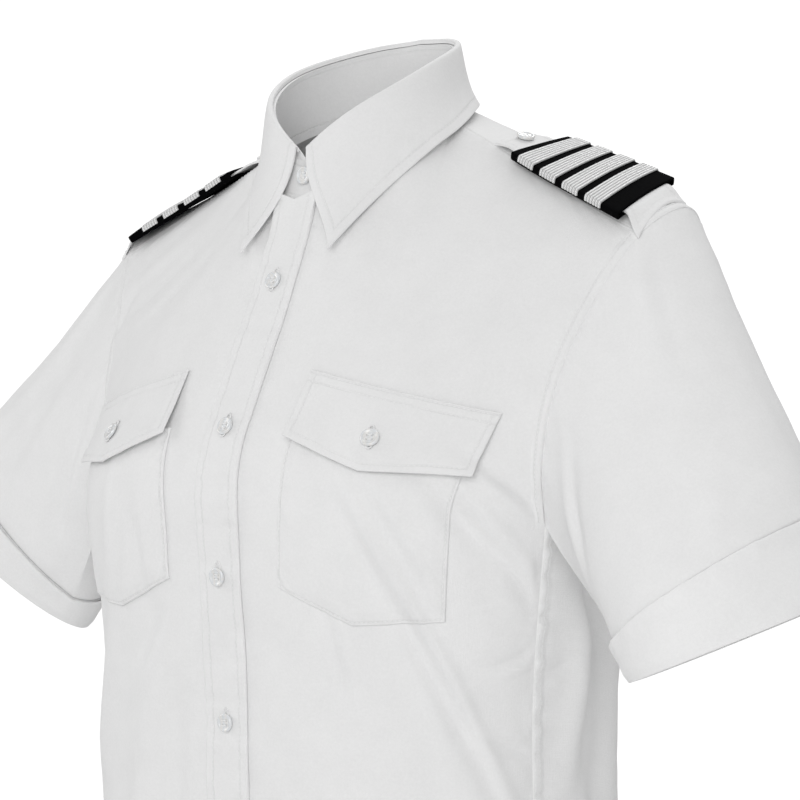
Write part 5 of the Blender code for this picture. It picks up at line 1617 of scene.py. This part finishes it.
def make_flap(side, look):
    """A pocket flap: two layers, turned at its edges, double stitched at its top and edge stitched."""
    columns = halves(0.114)
    rows = spaced(0.045, "folded", "folded", coarse=0.0022)
    inner, normal = flap_grid(side, columns, rows)
    border = np.concatenate([inner[::-1, 0], inner[0, 1:], inner[1:, -1]])
    away = edge_distance(inner, border)
    to_top = edge_distance(inner, inner[-1])
    edges = np.minimum(away, to_top)
    run = arc(inner, 1)
    height = FLAP_THICK + seam_pucker(run, away - FLAP_STITCH) * 0.4
    height = height + seam_pucker(run, to_top - 0.004) * 0.5
    for line in (away - FLAP_STITCH, to_top - EDGE_STITCH, to_top - DOUBLE_STITCH):
        height = height - GROOVE * hump(line, GROOVE_WIDTH)
    outer = inner + normal * (height - rolled(edges, FLAP_THICK))[..., None]
    normals = normals_of(outer) * side
    to_foot = edge_distance(inner, inner[0])
    to_left = edge_distance(inner, inner[:, 0])
    to_right = edge_distance(inner, inner[:, -1])
    wide = np.minimum(to_left, to_right).min(axis=0) > FLAP_STITCH
    lines = [line_at(outer, normals, to_foot, FLAP_STITCH, 0, keep=wide)]
    tall = (to_foot.min(axis=1) > FLAP_STITCH) & (to_top.min(axis=1) > EDGE_STITCH)
    lines.append(line_at(outer, normals, to_left, FLAP_STITCH, 1, keep=tall))
    lines.append(line_at(outer, normals, to_right, FLAP_STITCH, 1, flip=True, keep=tall))
    for depth in (EDGE_STITCH, DOUBLE_STITCH):
        lines.append(line_at(outer, normals, to_top, depth, 0, flip=True, keep=wide))
    sewn = nearest(np.where(to_top > EDGE_STITCH, away - FLAP_STITCH, PLAIN), to_top - EDGE_STITCH,
                   to_top - DOUBLE_STITCH)
    finish_panel(sided("flap", side), inner, outer, side, look, sewn,
                 [sided(kind, side) + "_cloth" for kind in ("front", "pocket")], "hung")
    return lines


# ---------------------------------------------------------------- straps, boards and braid

def strap_length():
    return np.linalg.norm(STRAP_INNER - STRAP_OUTER)


def strap_grid(along, across, half_outer, half_inner):
    """Points of the yoke under the strap, along it from the armhole and across it from front to
    back, drawn out flatter across between its ends. Also which way they face."""
    length = strap_length()
    way = (STRAP_INNER - STRAP_OUTER) / length
    aside = np.array([way[1], -way[0]])
    reach = across * (half_outer + (half_inner - half_outer) * along / length)

    def on_yoke(reach):
        place = STRAP_OUTER + way * along[..., None] + aside * reach[..., None]
        at = place_on(shoulder_surface, [0, 1], place, (0.6, 0.8))
        return shoulder_surface(at[..., 0], at[..., 1]), -surface_normals(shoulder_surface, at)

    (base, normal), (middle, facing) = on_yoke(reach), on_yoke(reach * 0)
    flat = middle + unit(on_yoke(reach * 0 + STRAP_NUDGE)[0] - middle) * reach[..., None]
    ends = ease((along - STRAP_FROM) / STRAP_RISE) * ease((length - along) / STRAP_RISE)
    stiff = STRAP_STIFF * ends[..., None]
    return base + (flat - base) * stiff, unit(normal + (facing - normal) * stiff)


def strap_surface(along, across):
    """The strap's underside and its facing, risen over the board's lower side."""
    base, normal = strap_grid(along, across, STRAP_HALF_OUTER, STRAP_HALF_INNER)
    length = strap_length()
    rise = ease(along / STRAP_RISE) * ease((length + STRAP_RISE / 2 - along) / STRAP_RISE)
    height = LAY_GAP + (STRAP_OVER - LAY_GAP) * rise
    return base + normal * height[..., None], normal


def make_strap(side, look):
    """The strap: two layers, edge stitched, from the armhole seam to its buttoned neck end."""
    length = strap_length()
    past = length - STRAP_FROM
    run = STRAP_FROM + past * spaced(past, "folded", "folded", coarse=0.0024)
    width = spaced(2 * STRAP_HALF_INNER, "folded", "folded", coarse=0.0024)
    along, across = np.meshgrid(run, 1 - 2 * width)
    inner, normal = strap_surface(along, across)
    border = np.concatenate([inner[0], inner[1:, -1], inner[-1, -2::-1], inner[-2::-1, 0]])
    away = edge_distance(inner, border)
    height = STRAP_THICK + seam_pucker(along, away - STRAP_STITCH) * 0.5
    height = height - GROOVE * hump(away - STRAP_STITCH, GROOVE_WIDTH)
    outer = inner + normal * (height - rolled(away, STRAP_THICK))[..., None]
    normals = normals_of(outer)
    front, back, end = (edge_distance(inner, edge) for edge in (inner[0], inner[-1], inner[:, -1]))
    lines = [
        line_at(outer, normals, front, STRAP_STITCH, 0),
        line_at(outer, normals, back, STRAP_STITCH, 0, flip=True),
        line_at(outer, normals, end, STRAP_STITCH, 1, flip=True,
                keep=away.max(axis=1) > STRAP_STITCH + 0.0004),
    ]
    uv = np.stack([arc(outer, 1), arc(outer, 0)], axis=-1)
    flip = [side, 1, 1]
    outer, inner, uv, sewn = turned(side, outer * flip, inner * flip, uv, nearest(away - STRAP_STITCH))
    cloth_piece(sided("strap", side), outer, inner, look, ["yoke_cloth"], "folded", uv=uv, sewn=sewn)
    return lines if side > 0 else other_side(lines)


def board_section(along, steps=22):
    """Grids along the board, from back to front: its underside, its top and which way that faces.
    Then its rounded front and back edges, each with the ways it faces."""
    across = np.linspace(1, -1, steps)
    a, c = np.meshgrid(along, across, indexing="ij")
    base, normal = strap_grid(a, c, BOARD_HALF_OUTER, BOARD_HALF_INNER)
    crown = BOARD_CROWN * np.abs(c) ** 3
    low = base + normal * (LAY_GAP + crown / 2)[..., None]
    high = base + normal * (STRAP_OVER + STRAP_THICK + LAY_GAP + BOARD_THICK + crown / 3)[..., None]
    middle = (low + high) / 2
    bulge = (steps - 1) / 9 * BOARD_ROUND

    def edge(near, before, sign):
        """Half an oval from the top face (sign 1) or the underside (-1) round to the other."""
        out = (middle[:, near] - middle[:, before]) * bulge
        half = (high - low)[:, near] / 2
        turn = np.radians(np.linspace(90, -90, 9)[1:-1]) * sign
        points = [middle[:, near] + out * np.cos(t) + half * np.sin(t) for t in turn]
        ways = [unit(unit(out) * np.cos(t) + unit(half) * np.sin(t)) for t in turn]
        return np.stack(points, axis=1), np.stack(ways, axis=1)

    front, front_way = edge(-1, -2, 1)
    back, back_way = edge(0, 1, -1)
    return low, high, normal, front, front_way, back, back_way


def make_board(side, look):
    """The slip-on board: a stiffened cloth tube, open at both ends, with its crowned long edges."""
    length = BOARD_TO - BOARD_FROM
    along = BOARD_FROM + length * spaced(length, "folded", "folded", coarse=0.0024)[::-1]
    low, high, normal, front, front_way, back, back_way = board_section(along)
    outer = np.concatenate([high, front, low[:, ::-1], back], axis=1)
    ways = np.concatenate([normal, front_way, -normal[:, ::-1], back_way], axis=1)
    to_end = np.minimum(along - BOARD_FROM, BOARD_TO - along)[:, None]
    outer = outer - ways * rolled(to_end, BOARD_THICK)[..., None]
    inner = outer - ways * (BOARD_THICK - rolled(to_end, BOARD_THICK))[..., None]
    ring = np.concatenate([outer, outer[:, :1]], axis=1)
    uv = np.stack([arc(ring, 1), along[:, None] + ring[..., 0] * 0], axis=-1)
    outer, inner, uv = turned(side, outer * [side, 1, 1], inner * [side, 1, 1], uv)
    piece = cloth_piece(sided("board", side), outer, inner, look, [sided("strap", side) + "_cloth"],
                        "folded", closed=True, uv=uv)


def make_stripe(side, number, look):
    """One braid stripe, over the board and round both of its edges, in raised ribs."""
    start = BOARD_FROM + STRIPE_FIRST + (number - 1) * STRIPE_PITCH
    share = np.linspace(0, 1, BRAID_RIBS * 6 + 1)
    along = start + STRIPE_WIDTH * share[::-1]
    _, high, normal, front, front_way, back, back_way = board_section(along, 40)
    half = back.shape[1] // 2
    base = np.concatenate([back[:, half:], high, front[:, : half + 1]], axis=1)
    ways = np.concatenate([back_way[:, half:], normal, front_way[:, : half + 1]], axis=1)
    rib = np.abs(np.sin(np.pi * BRAID_RIBS * share)) ** 0.6
    cross = arc(base, 1)
    rib = rib[:, None] * (1 + 0.12 * np.sin(cross * 2 * np.pi / 0.0011 + share[:, None] * 40))
    inner = base + ways * STRIPE_GAP
    outer = base + ways * (STRIPE_GAP + STRIPE_THICK - RIB_HEIGHT * (1 - rib))[..., None]
    uv = np.stack([cross, along[:, None] - start + cross * 0], axis=-1)
    outer, inner, uv = turned(side, outer * [side, 1, 1], inner * [side, 1, 1], uv)
    node = f"{sided('stripe', side)}_{number}"
    piece = wall(f"{node}_braid", outer, inner, look, uv=uv)
    declare(node)


# ---------------------------------------------------------------- buttons

BUTTON_PROFILE = np.array([
    (0.0000, 0.70), (0.1500, 0.70), (0.3000, 0.70), (0.4800, 0.70), (0.6000, 0.72), (0.6700, 0.79),
    (0.7400, 0.92), (0.8200, 1.00), (0.9000, 0.97), (0.9600, 0.84), (1.0000, 0.60), (0.9900, 0.32),
    (0.9300, 0.08), (0.8500, 0.00), (0.4000, 0.00), (0.0000, 0.00),
])
HOLE_PLACE = 0.36  # of the button's radius, from its middle
HOLE_SIZE = 0.105
UPRIGHT = np.array([0, 0, 1.0])


def button_mesh(centre, facing):
    """A turned button: its profile round its axis, less h exp(-(d / r)^4) at each of four holes."""
    run = np.concatenate([[0], np.cumsum(np.hypot(*np.diff(BUTTON_PROFILE, axis=0).T))])
    at = np.linspace(0, run[-1], 64)
    radius, height = (np.interp(at, run, BUTTON_PROFILE[:, k]) for k in (0, 1))
    radius, height = radius[1:-1], height[1:-1]
    turn = np.linspace(0, 2 * np.pi, 57)[:-1]
    x, y = radius[:, None] * np.cos(turn), radius[:, None] * np.sin(turn)
    top = at[1:-1] < run[7]
    dent = 0
    for angle in np.radians([45, 135, 225, 315]):
        away = np.hypot(x - HOLE_PLACE * np.cos(angle), y - HOLE_PLACE * np.sin(angle))
        dent = dent + np.exp(-((away / HOLE_SIZE) ** 4))
    z = height[:, None] - 0.55 * dent * top[:, None]
    rows, columns = x.shape
    ring = np.stack([x * BUTTON_RADIUS, y * BUTTON_RADIUS, z * BUTTON_THICK], axis=-1).reshape(-1, 3)
    poles = np.array([[0, 0, BUTTON_PROFILE[0, 1]], [0, 0, 0]]) * BUTTON_THICK
    corners = grid_corners(rows, columns, True)
    quads = (corners[..., 0] * columns + corners[..., 1] % columns)[:, ::-1]
    faces = quads.tolist()
    count = rows * columns
    for k in range(columns):
        after = (k + 1) % columns
        faces.append([count, k, after])
        faces.append([count + 1, count - columns + after, count - columns + k])
    facing = unit(np.asarray(facing, float))
    side = unit(np.cross(facing, [0.0, 0.0, 1.0] if abs(facing[2]) < 0.9 else [0.0, 1.0, 0.0]))
    up = np.cross(facing, side)
    points = np.concatenate([ring, poles])
    points = centre + points[:, :1] * side + points[:, 1:2] * up + points[:, 2:] * facing
    apart = up * (HOLE_PLACE * 0.707 * BUTTON_RADIUS)
    threads, thread_faces = spindles(
        centre + np.array([apart, -apart]) + facing * BUTTON_THICK * 0.72,
        np.array([side, side]),
        np.array([facing, facing]),
        (HOLE_PLACE * 1.414 * BUTTON_RADIUS * 1.25, 0.0009, 0.0006),
    )
    return points, faces, threads, thread_faces


def make_buttons(piece_name, places, nodes, look, thread):
    """Several buttons as one piece, and the threads that hold them as another."""
    points, faces, threads, thread_faces = [], [], [], []
    for centre, facing in places:
        button, button_faces, thread_points, more = button_mesh(centre, facing)
        start, thread_start = sum(map(len, points)), sum(map(len, threads))
        faces += [[corner + start for corner in face] for face in button_faces]
        thread_faces += [[corner + thread_start for corner in face] for face in more]
        points.append(button)
        threads.append(thread_points)
    made = add_mesh(piece_name, np.concatenate(points), faces, look, angle=60.0)
    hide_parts(*nodes)
    held = add_mesh(f"{piece_name}_threads", np.concatenate(threads), thread_faces, thread, angle=80.0)


def buttonhole_mesh(centre, facing, length=0.0150, width=0.0030, thick=0.00055):
    """A worked upright buttonhole: a rounded cord round a long oval, in close ribs."""
    count = 150
    straight = (length - width) / 2
    total = 4 * straight + np.pi * width
    run = np.linspace(0, total, count + 1)[:-1]
    legs = np.array([0, 2 * straight, 2 * straight + np.pi * width / 2,
                     4 * straight + np.pi * width / 2, total])
    leg = np.searchsorted(legs, run, side="right") - 1
    past = run - legs[leg]
    turn = past / (width / 2)
    on_leg = [leg == k for k in range(4)]
    level, bow, rise = past * 0 + width / 2, np.sin(turn) * width / 2, np.cos(turn) * width / 2
    x = np.select(on_leg, [past - straight, straight + bow, straight - past, -straight - bow])
    y = np.select(on_leg, [-level, -rise, level, rise])
    path = np.stack([x, y], axis=-1)
    ahead = unit(np.roll(path, -1, axis=0) - np.roll(path, 1, axis=0))
    out = np.stack([ahead[:, 1], -ahead[:, 0]], axis=-1)
    ribs = 1 + 0.18 * np.cos(np.arange(count) * 2 * np.pi * 0.5)
    ring = np.linspace(0, 2 * np.pi, 7)[:-1]
    wide = np.cos(ring)[None, :, None] * thick * 1.2 * ribs[:, None, None]
    flat = path[:, None] + out[:, None] * wide
    height = np.sin(ring)[None] * thick * ribs[:, None]
    facing = unit(facing)
    side = unit(UPRIGHT - facing * (UPRIGHT @ facing))
    up = np.cross(facing, side)
    points = centre + flat[..., :1] * side + flat[..., 1:] * up + height[..., None] * facing
    rows, columns = height.shape
    closing = np.concatenate([points, points[:1]])
    corners = grid_corners(rows + 1, columns, True)
    quads = (corners[..., 0] % rows) * columns + corners[..., 1] % columns
    return closing[:-1].reshape(-1, 3), quads[:, ::-1].tolist()


def make_buttonholes(name, places, sunk, raised, look):
    """The buttonholes under buttons at these places, sunk into the cloth and a little higher up."""
    points, faces = [], []
    for centre, facing in places:
        hole, hole_faces = buttonhole_mesh(centre - facing * sunk + UPRIGHT * raised, facing)
        start = sum(map(len, points))
        faces += [[corner + start for corner in face] for face in hole_faces]
        points.append(hole)
    add_mesh(name, np.concatenate(points), faces, look, angle=80.0)


def band_button_places():
    """Where each button of the front band sits, as the solids have it, and which way it faces."""
    places = []
    for number in range(BAND_BUTTONS):
        height = BAND_BUTTON_TOP - number * BAND_BUTTON_PITCH
        at = place_on(front_surface, [0, 2], np.array([0.0, height]), (0.001, 1.0))
        normal = surface_normals(front_surface, np.array([0.01, at[1]])) * [0, 1, 1]
        here = front_surface(np.array([0.0]), np.array([at[1]]), 1, dressed=True)[0]
        places.append((here + unit(normal) * (LAY_GAP * 2 + BAND_THICK), unit(normal)))
    return places


def flap_button_place(side):
    """Where the flap's button sits, in the middle of its lower part."""
    inner, normal = flap_grid(side, np.array([0.45, 0.5, 0.55]), np.array([0.25, 0.375, 0.5]))
    outer = inner + normal * FLAP_THICK
    facing = normals_of(outer)[1, 1] * side
    return outer[1, 1] + facing * BUTTON_GAP, facing


def strap_button_place(side):
    length = strap_length()
    near = length - STRAP_BUTTON_IN + np.array([-0.001, 0, 0.001])
    inner, normal = strap_surface(*np.meshgrid(near, [0.02, 0, -0.02]))
    spot = inner[1, 1] + normal[1, 1] * (STRAP_THICK + BUTTON_GAP)
    flip = np.array([side, 1.0, 1.0])
    return spot * flip, normal[1, 1] * flip


def stand_button_place():
    turn = 3.0
    height = (rim_height(np.array(0.0), "seam") + rim_height(np.array(0.0), "fold")) / 2
    x, y = around_neck(turn, (STAND_BASE_RADIUS + STAND_TOP_RADIUS) / 2 + LAY_GAP)
    return np.array([x, y, height]), np.array([0.0, -1.0, 0.1])


# ---------------------------------------------------------------- what the panel offers

def colour_choice(name, what, default):
    return bpy.props.FloatVectorProperty(
        name=name, description=f"Colour of {what}", subtype="COLOR", size=3, min=0.0, max=1.0,
        default=default,
    )


class ShirtSettings(bpy.types.PropertyGroup):
    """What a user would change on the shirt before its pieces are made."""

    cloth_colour: colour_choice("Cloth", "the shirt's cloth", (0.86, 0.86, 0.86))
    button_colour: colour_choice("Buttons", "the buttons", (0.80, 0.79, 0.77))
    board_colour: colour_choice("Boards", "the shoulder boards", (0.0030, 0.0030, 0.0034))
    braid_colour: colour_choice("Braid", "the braid stripes", (0.92, 0.92, 0.92))
    weave_pitch: bpy.props.FloatProperty(
        name="Weave", description="Distance from thread to thread", default=0.00042,
        min=0.0001, max=0.003, unit="LENGTH", precision=5,
    )
    creases: bpy.props.FloatProperty(
        name="Creases", description="Height of the creases, as a share", default=1.0,
        min=0.0, max=1.5, subtype="FACTOR",
    )
    crumple: bpy.props.FloatProperty(
        name="Unevenness", description="Height of the worn cloth's unevenness, as a share",
        default=1.0, min=0.0, max=2.0, subtype="FACTOR",
    )
    light: bpy.props.FloatProperty(
        name="Light", description="Strength of the studio light", default=1.0, min=0.0, max=4.0,
    )


class PieceOperator:
    """Shared by the operators, each of which makes one group of pieces."""

    bl_options = {"REGISTER", "UNDO"}

    def execute(self, context):
        self.make(looks())
        return {"FINISHED"}


class SHIRT_OT_body(PieceOperator, bpy.types.Operator):
    """Make the fronts, back and yoke, with the stitching of their seams and hem"""

    bl_idname = "pilot_shirt.body"
    bl_label = "Body"

    def make(self, look):
        lines = make_yoke(look["cloth"])
        lines += make_back(look["cloth"])
        for side in (1, -1):
            lines += make_front(side, look["cloth"])
        stitches("stitching_body", lines, look["thread"])


class SHIRT_OT_sleeves(PieceOperator, bpy.types.Operator):
    """Make both sleeves and their turned-up cuffs"""

    bl_idname = "pilot_shirt.sleeves"
    bl_label = "Sleeves"

    def make(self, look):
        for side in (1, -1):
            make_sleeve(side, look["cloth"])
            make_cuff(side, look["cloth"])


class SHIRT_OT_collar(PieceOperator, bpy.types.Operator):
    """Make the collar's stand and leaf"""

    bl_idname = "pilot_shirt.collar"
    bl_label = "Collar"

    def make(self, look):
        lines = make_stand(look["cloth"]) + make_leaf(look["cloth"])
        stitches("stitching_collar", lines, look["thread"])
        make_buttons("collar_button", [stand_button_place()], ["stand_button"],
                     look["pearl"], look["thread"])


class SHIRT_OT_band(PieceOperator, bpy.types.Operator):
    """Make the front band with its buttons and buttonholes"""

    bl_idname = "pilot_shirt.band"
    bl_label = "Front band"

    def make(self, look):
        lines = make_band(look["cloth"])
        stitches("stitching_band", lines, look["thread"])
        places = band_button_places()
        nodes = [f"band_button_{number + 1}" for number in range(BAND_BUTTONS)]
        make_buttons("band_buttons", places, nodes, look["pearl"], look["thread"])
        make_buttonholes("band_buttonholes", places, 0.0004, 0.0012, look["thread"])


class SHIRT_OT_pockets(PieceOperator, bpy.types.Operator):
    """Make the breast pockets, their flaps and the flaps' buttons"""

    bl_idname = "pilot_shirt.pockets"
    bl_label = "Pockets"

    def make(self, look):
        lines, places = [], []
        for side in (1, -1):
            lines += make_pocket(side, look["cloth"])
            lines += make_flap(side, look["cloth"])
            places.append(flap_button_place(side))
        stitches("stitching_pockets", lines, look["thread"])
        make_buttons("flap_buttons", places, ["flap_button_left", "flap_button_right"],
                     look["pearl"], look["thread"])
        make_buttonholes("flap_buttonholes", places, 0.0005, 0.0010, look["thread"])


class SHIRT_OT_shoulders(PieceOperator, bpy.types.Operator):
    """Make the shoulder straps, the slip-on boards and their braid stripes"""

    bl_idname = "pilot_shirt.shoulders"
    bl_label = "Straps and boards"

    def make(self, look):
        lines, places = [], []
        for side in (1, -1):
            lines += make_strap(side, look["cloth"])
            places.append(strap_button_place(side))
            make_board(side, look["board"])
            for number in range(1, STRIPES + 1):
                make_stripe(side, number, look["braid"])
        stitches("stitching_straps", lines, look["thread"])
        make_buttons("strap_buttons", places, ["strap_button_left", "strap_button_right"],
                     look["pearl"], look["thread"])


def floor_material():
    made, tree, shader = blank_material("pale_floor", 0.7)
    grain = noise(tree, own_place(tree), 40.0, 3.0)
    tree.links.new(mixed(tree, grain, (0.80, 0.80, 0.80, 1), (0.84, 0.84, 0.84, 1)),
                   shader.inputs["Base Color"])
    return made


def area_light(name, place, target, size, power):
    """A soft rectangular light at a place, turned towards its target."""
    data = bpy.data.lights.new(name, "AREA")
    data.shape, data.size, data.size_y, data.energy = "RECTANGLE", size[0], size[1], power
    made = bpy.data.objects.new(name, data)
    way = unit(np.array(target, float) - np.array(place, float))
    made.matrix_world = looking(place, way)
    bpy.context.scene.collection.objects.link(made)


def looking(place, way):
    """The turn and place of something that looks along -Z, with its top up."""
    side = unit(np.cross(way, [0.0, 0.0, 1.0]))
    up = np.cross(side, way)
    turned = np.eye(4)
    turned[:3, 0], turned[:3, 1], turned[:3, 2], turned[:3, 3] = side, up, -np.asarray(way), place
    return Matrix(turned.tolist())


class SHIRT_OT_stage(PieceOperator, bpy.types.Operator):
    """Set the floor, the studio light and the camera"""

    bl_idname = "pilot_shirt.stage"
    bl_label = "Stage"

    def execute(self, context):
        scene = context.scene
        turn = np.linspace(0, 2 * np.pi, 97)[:-1]
        ring = np.stack([np.cos(turn), np.sin(turn), turn * 0], axis=-1) * FLOOR_RADIUS
        mesh = bpy.data.meshes.new("floor")
        mesh.from_pydata((ring + [0, 0, FLOOR_HEIGHT]).tolist(), [], [list(range(96))])
        mesh.materials.append(floor_material())
        floor = bpy.data.objects.new("floor", mesh)
        scene.collection.objects.link(floor)

        world = bpy.data.worlds.new("studio")
        world.use_nodes = True
        tree = world.node_tree
        tree.nodes.clear()
        out = tree.nodes.new("ShaderNodeOutputWorld")
        seen = link_nodes(tree, "ShaderNodeBackground", {"Color": (1, 1, 1, 1), "Strength": BACKGROUND})
        lit = link_nodes(tree, "ShaderNodeBackground",
                         {"Color": (1, 1, 1, 1), "Strength": AMBIENT * scene.pilot_shirt.light})
        both = link_nodes(tree, "ShaderNodeMixShader",
                          {0: tree.nodes.new("ShaderNodeLightPath").outputs["Is Camera Ray"],
                           1: lit.outputs[0], 2: seen.outputs[0]})
        tree.links.new(both.outputs[0], out.inputs["Surface"])
        scene.world = world
        scene.view_settings.view_transform = "Standard"
        for name, place, target, size, power in STUDIO_LIGHTS:
            area_light(name, place, target, size, power * scene.pilot_shirt.light)

        data = bpy.data.cameras.new("camera")
        data.lens, data.sensor_width = CAMERA_LENS, 36.0
        data.shift_x, data.shift_y = CAMERA_SHIFT
        camera = bpy.data.objects.new("camera", data)
        turn, tip = np.radians(CAMERA_TURN), np.radians(CAMERA_TIP)
        way = np.array([-np.sin(turn) * np.cos(tip), np.cos(turn) * np.cos(tip), -np.sin(tip)])
        camera.matrix_world = looking(np.array(CAMERA_TARGET) - way * CAMERA_AWAY, way)
        scene.collection.objects.link(camera)
        scene.camera = camera
        return {"FINISHED"}


OPERATORS = (
    SHIRT_OT_body, SHIRT_OT_sleeves, SHIRT_OT_collar, SHIRT_OT_band, SHIRT_OT_pockets,
    SHIRT_OT_shoulders, SHIRT_OT_stage,
)


class SHIRT_PT_panel(bpy.types.Panel):
    """The shirt's colours and its pieces"""

    bl_idname = "SHIRT_PT_panel"
    bl_label = "Pilot shirt"
    bl_space_type = "VIEW_3D"
    bl_region_type = "UI"
    bl_category = "Pilot shirt"

    def draw(self, context):
        shirt = context.scene.pilot_shirt
        for name in ("cloth_colour", "button_colour", "board_colour", "braid_colour", "weave_pitch",
                     "creases", "crumple", "light"):
            self.layout.prop(shirt, name)
        for operator in OPERATORS:
            self.layout.operator(operator.bl_idname)


def register():
    for made in (ShirtSettings, *OPERATORS, SHIRT_PT_panel):
        bpy.utils.register_class(made)
    bpy.types.Scene.pilot_shirt = bpy.props.PointerProperty(type=ShirtSettings)


def unregister():
    del bpy.types.Scene.pilot_shirt
    for made in (SHIRT_PT_panel, *OPERATORS[::-1], ShirtSettings):
        bpy.utils.unregister_class(made)


def main():
    register()
    for operator in OPERATORS:
        group, name = operator.bl_idname.split(".")
        getattr(getattr(bpy.ops, group), name)()


if __name__ == "__main__":
    main()
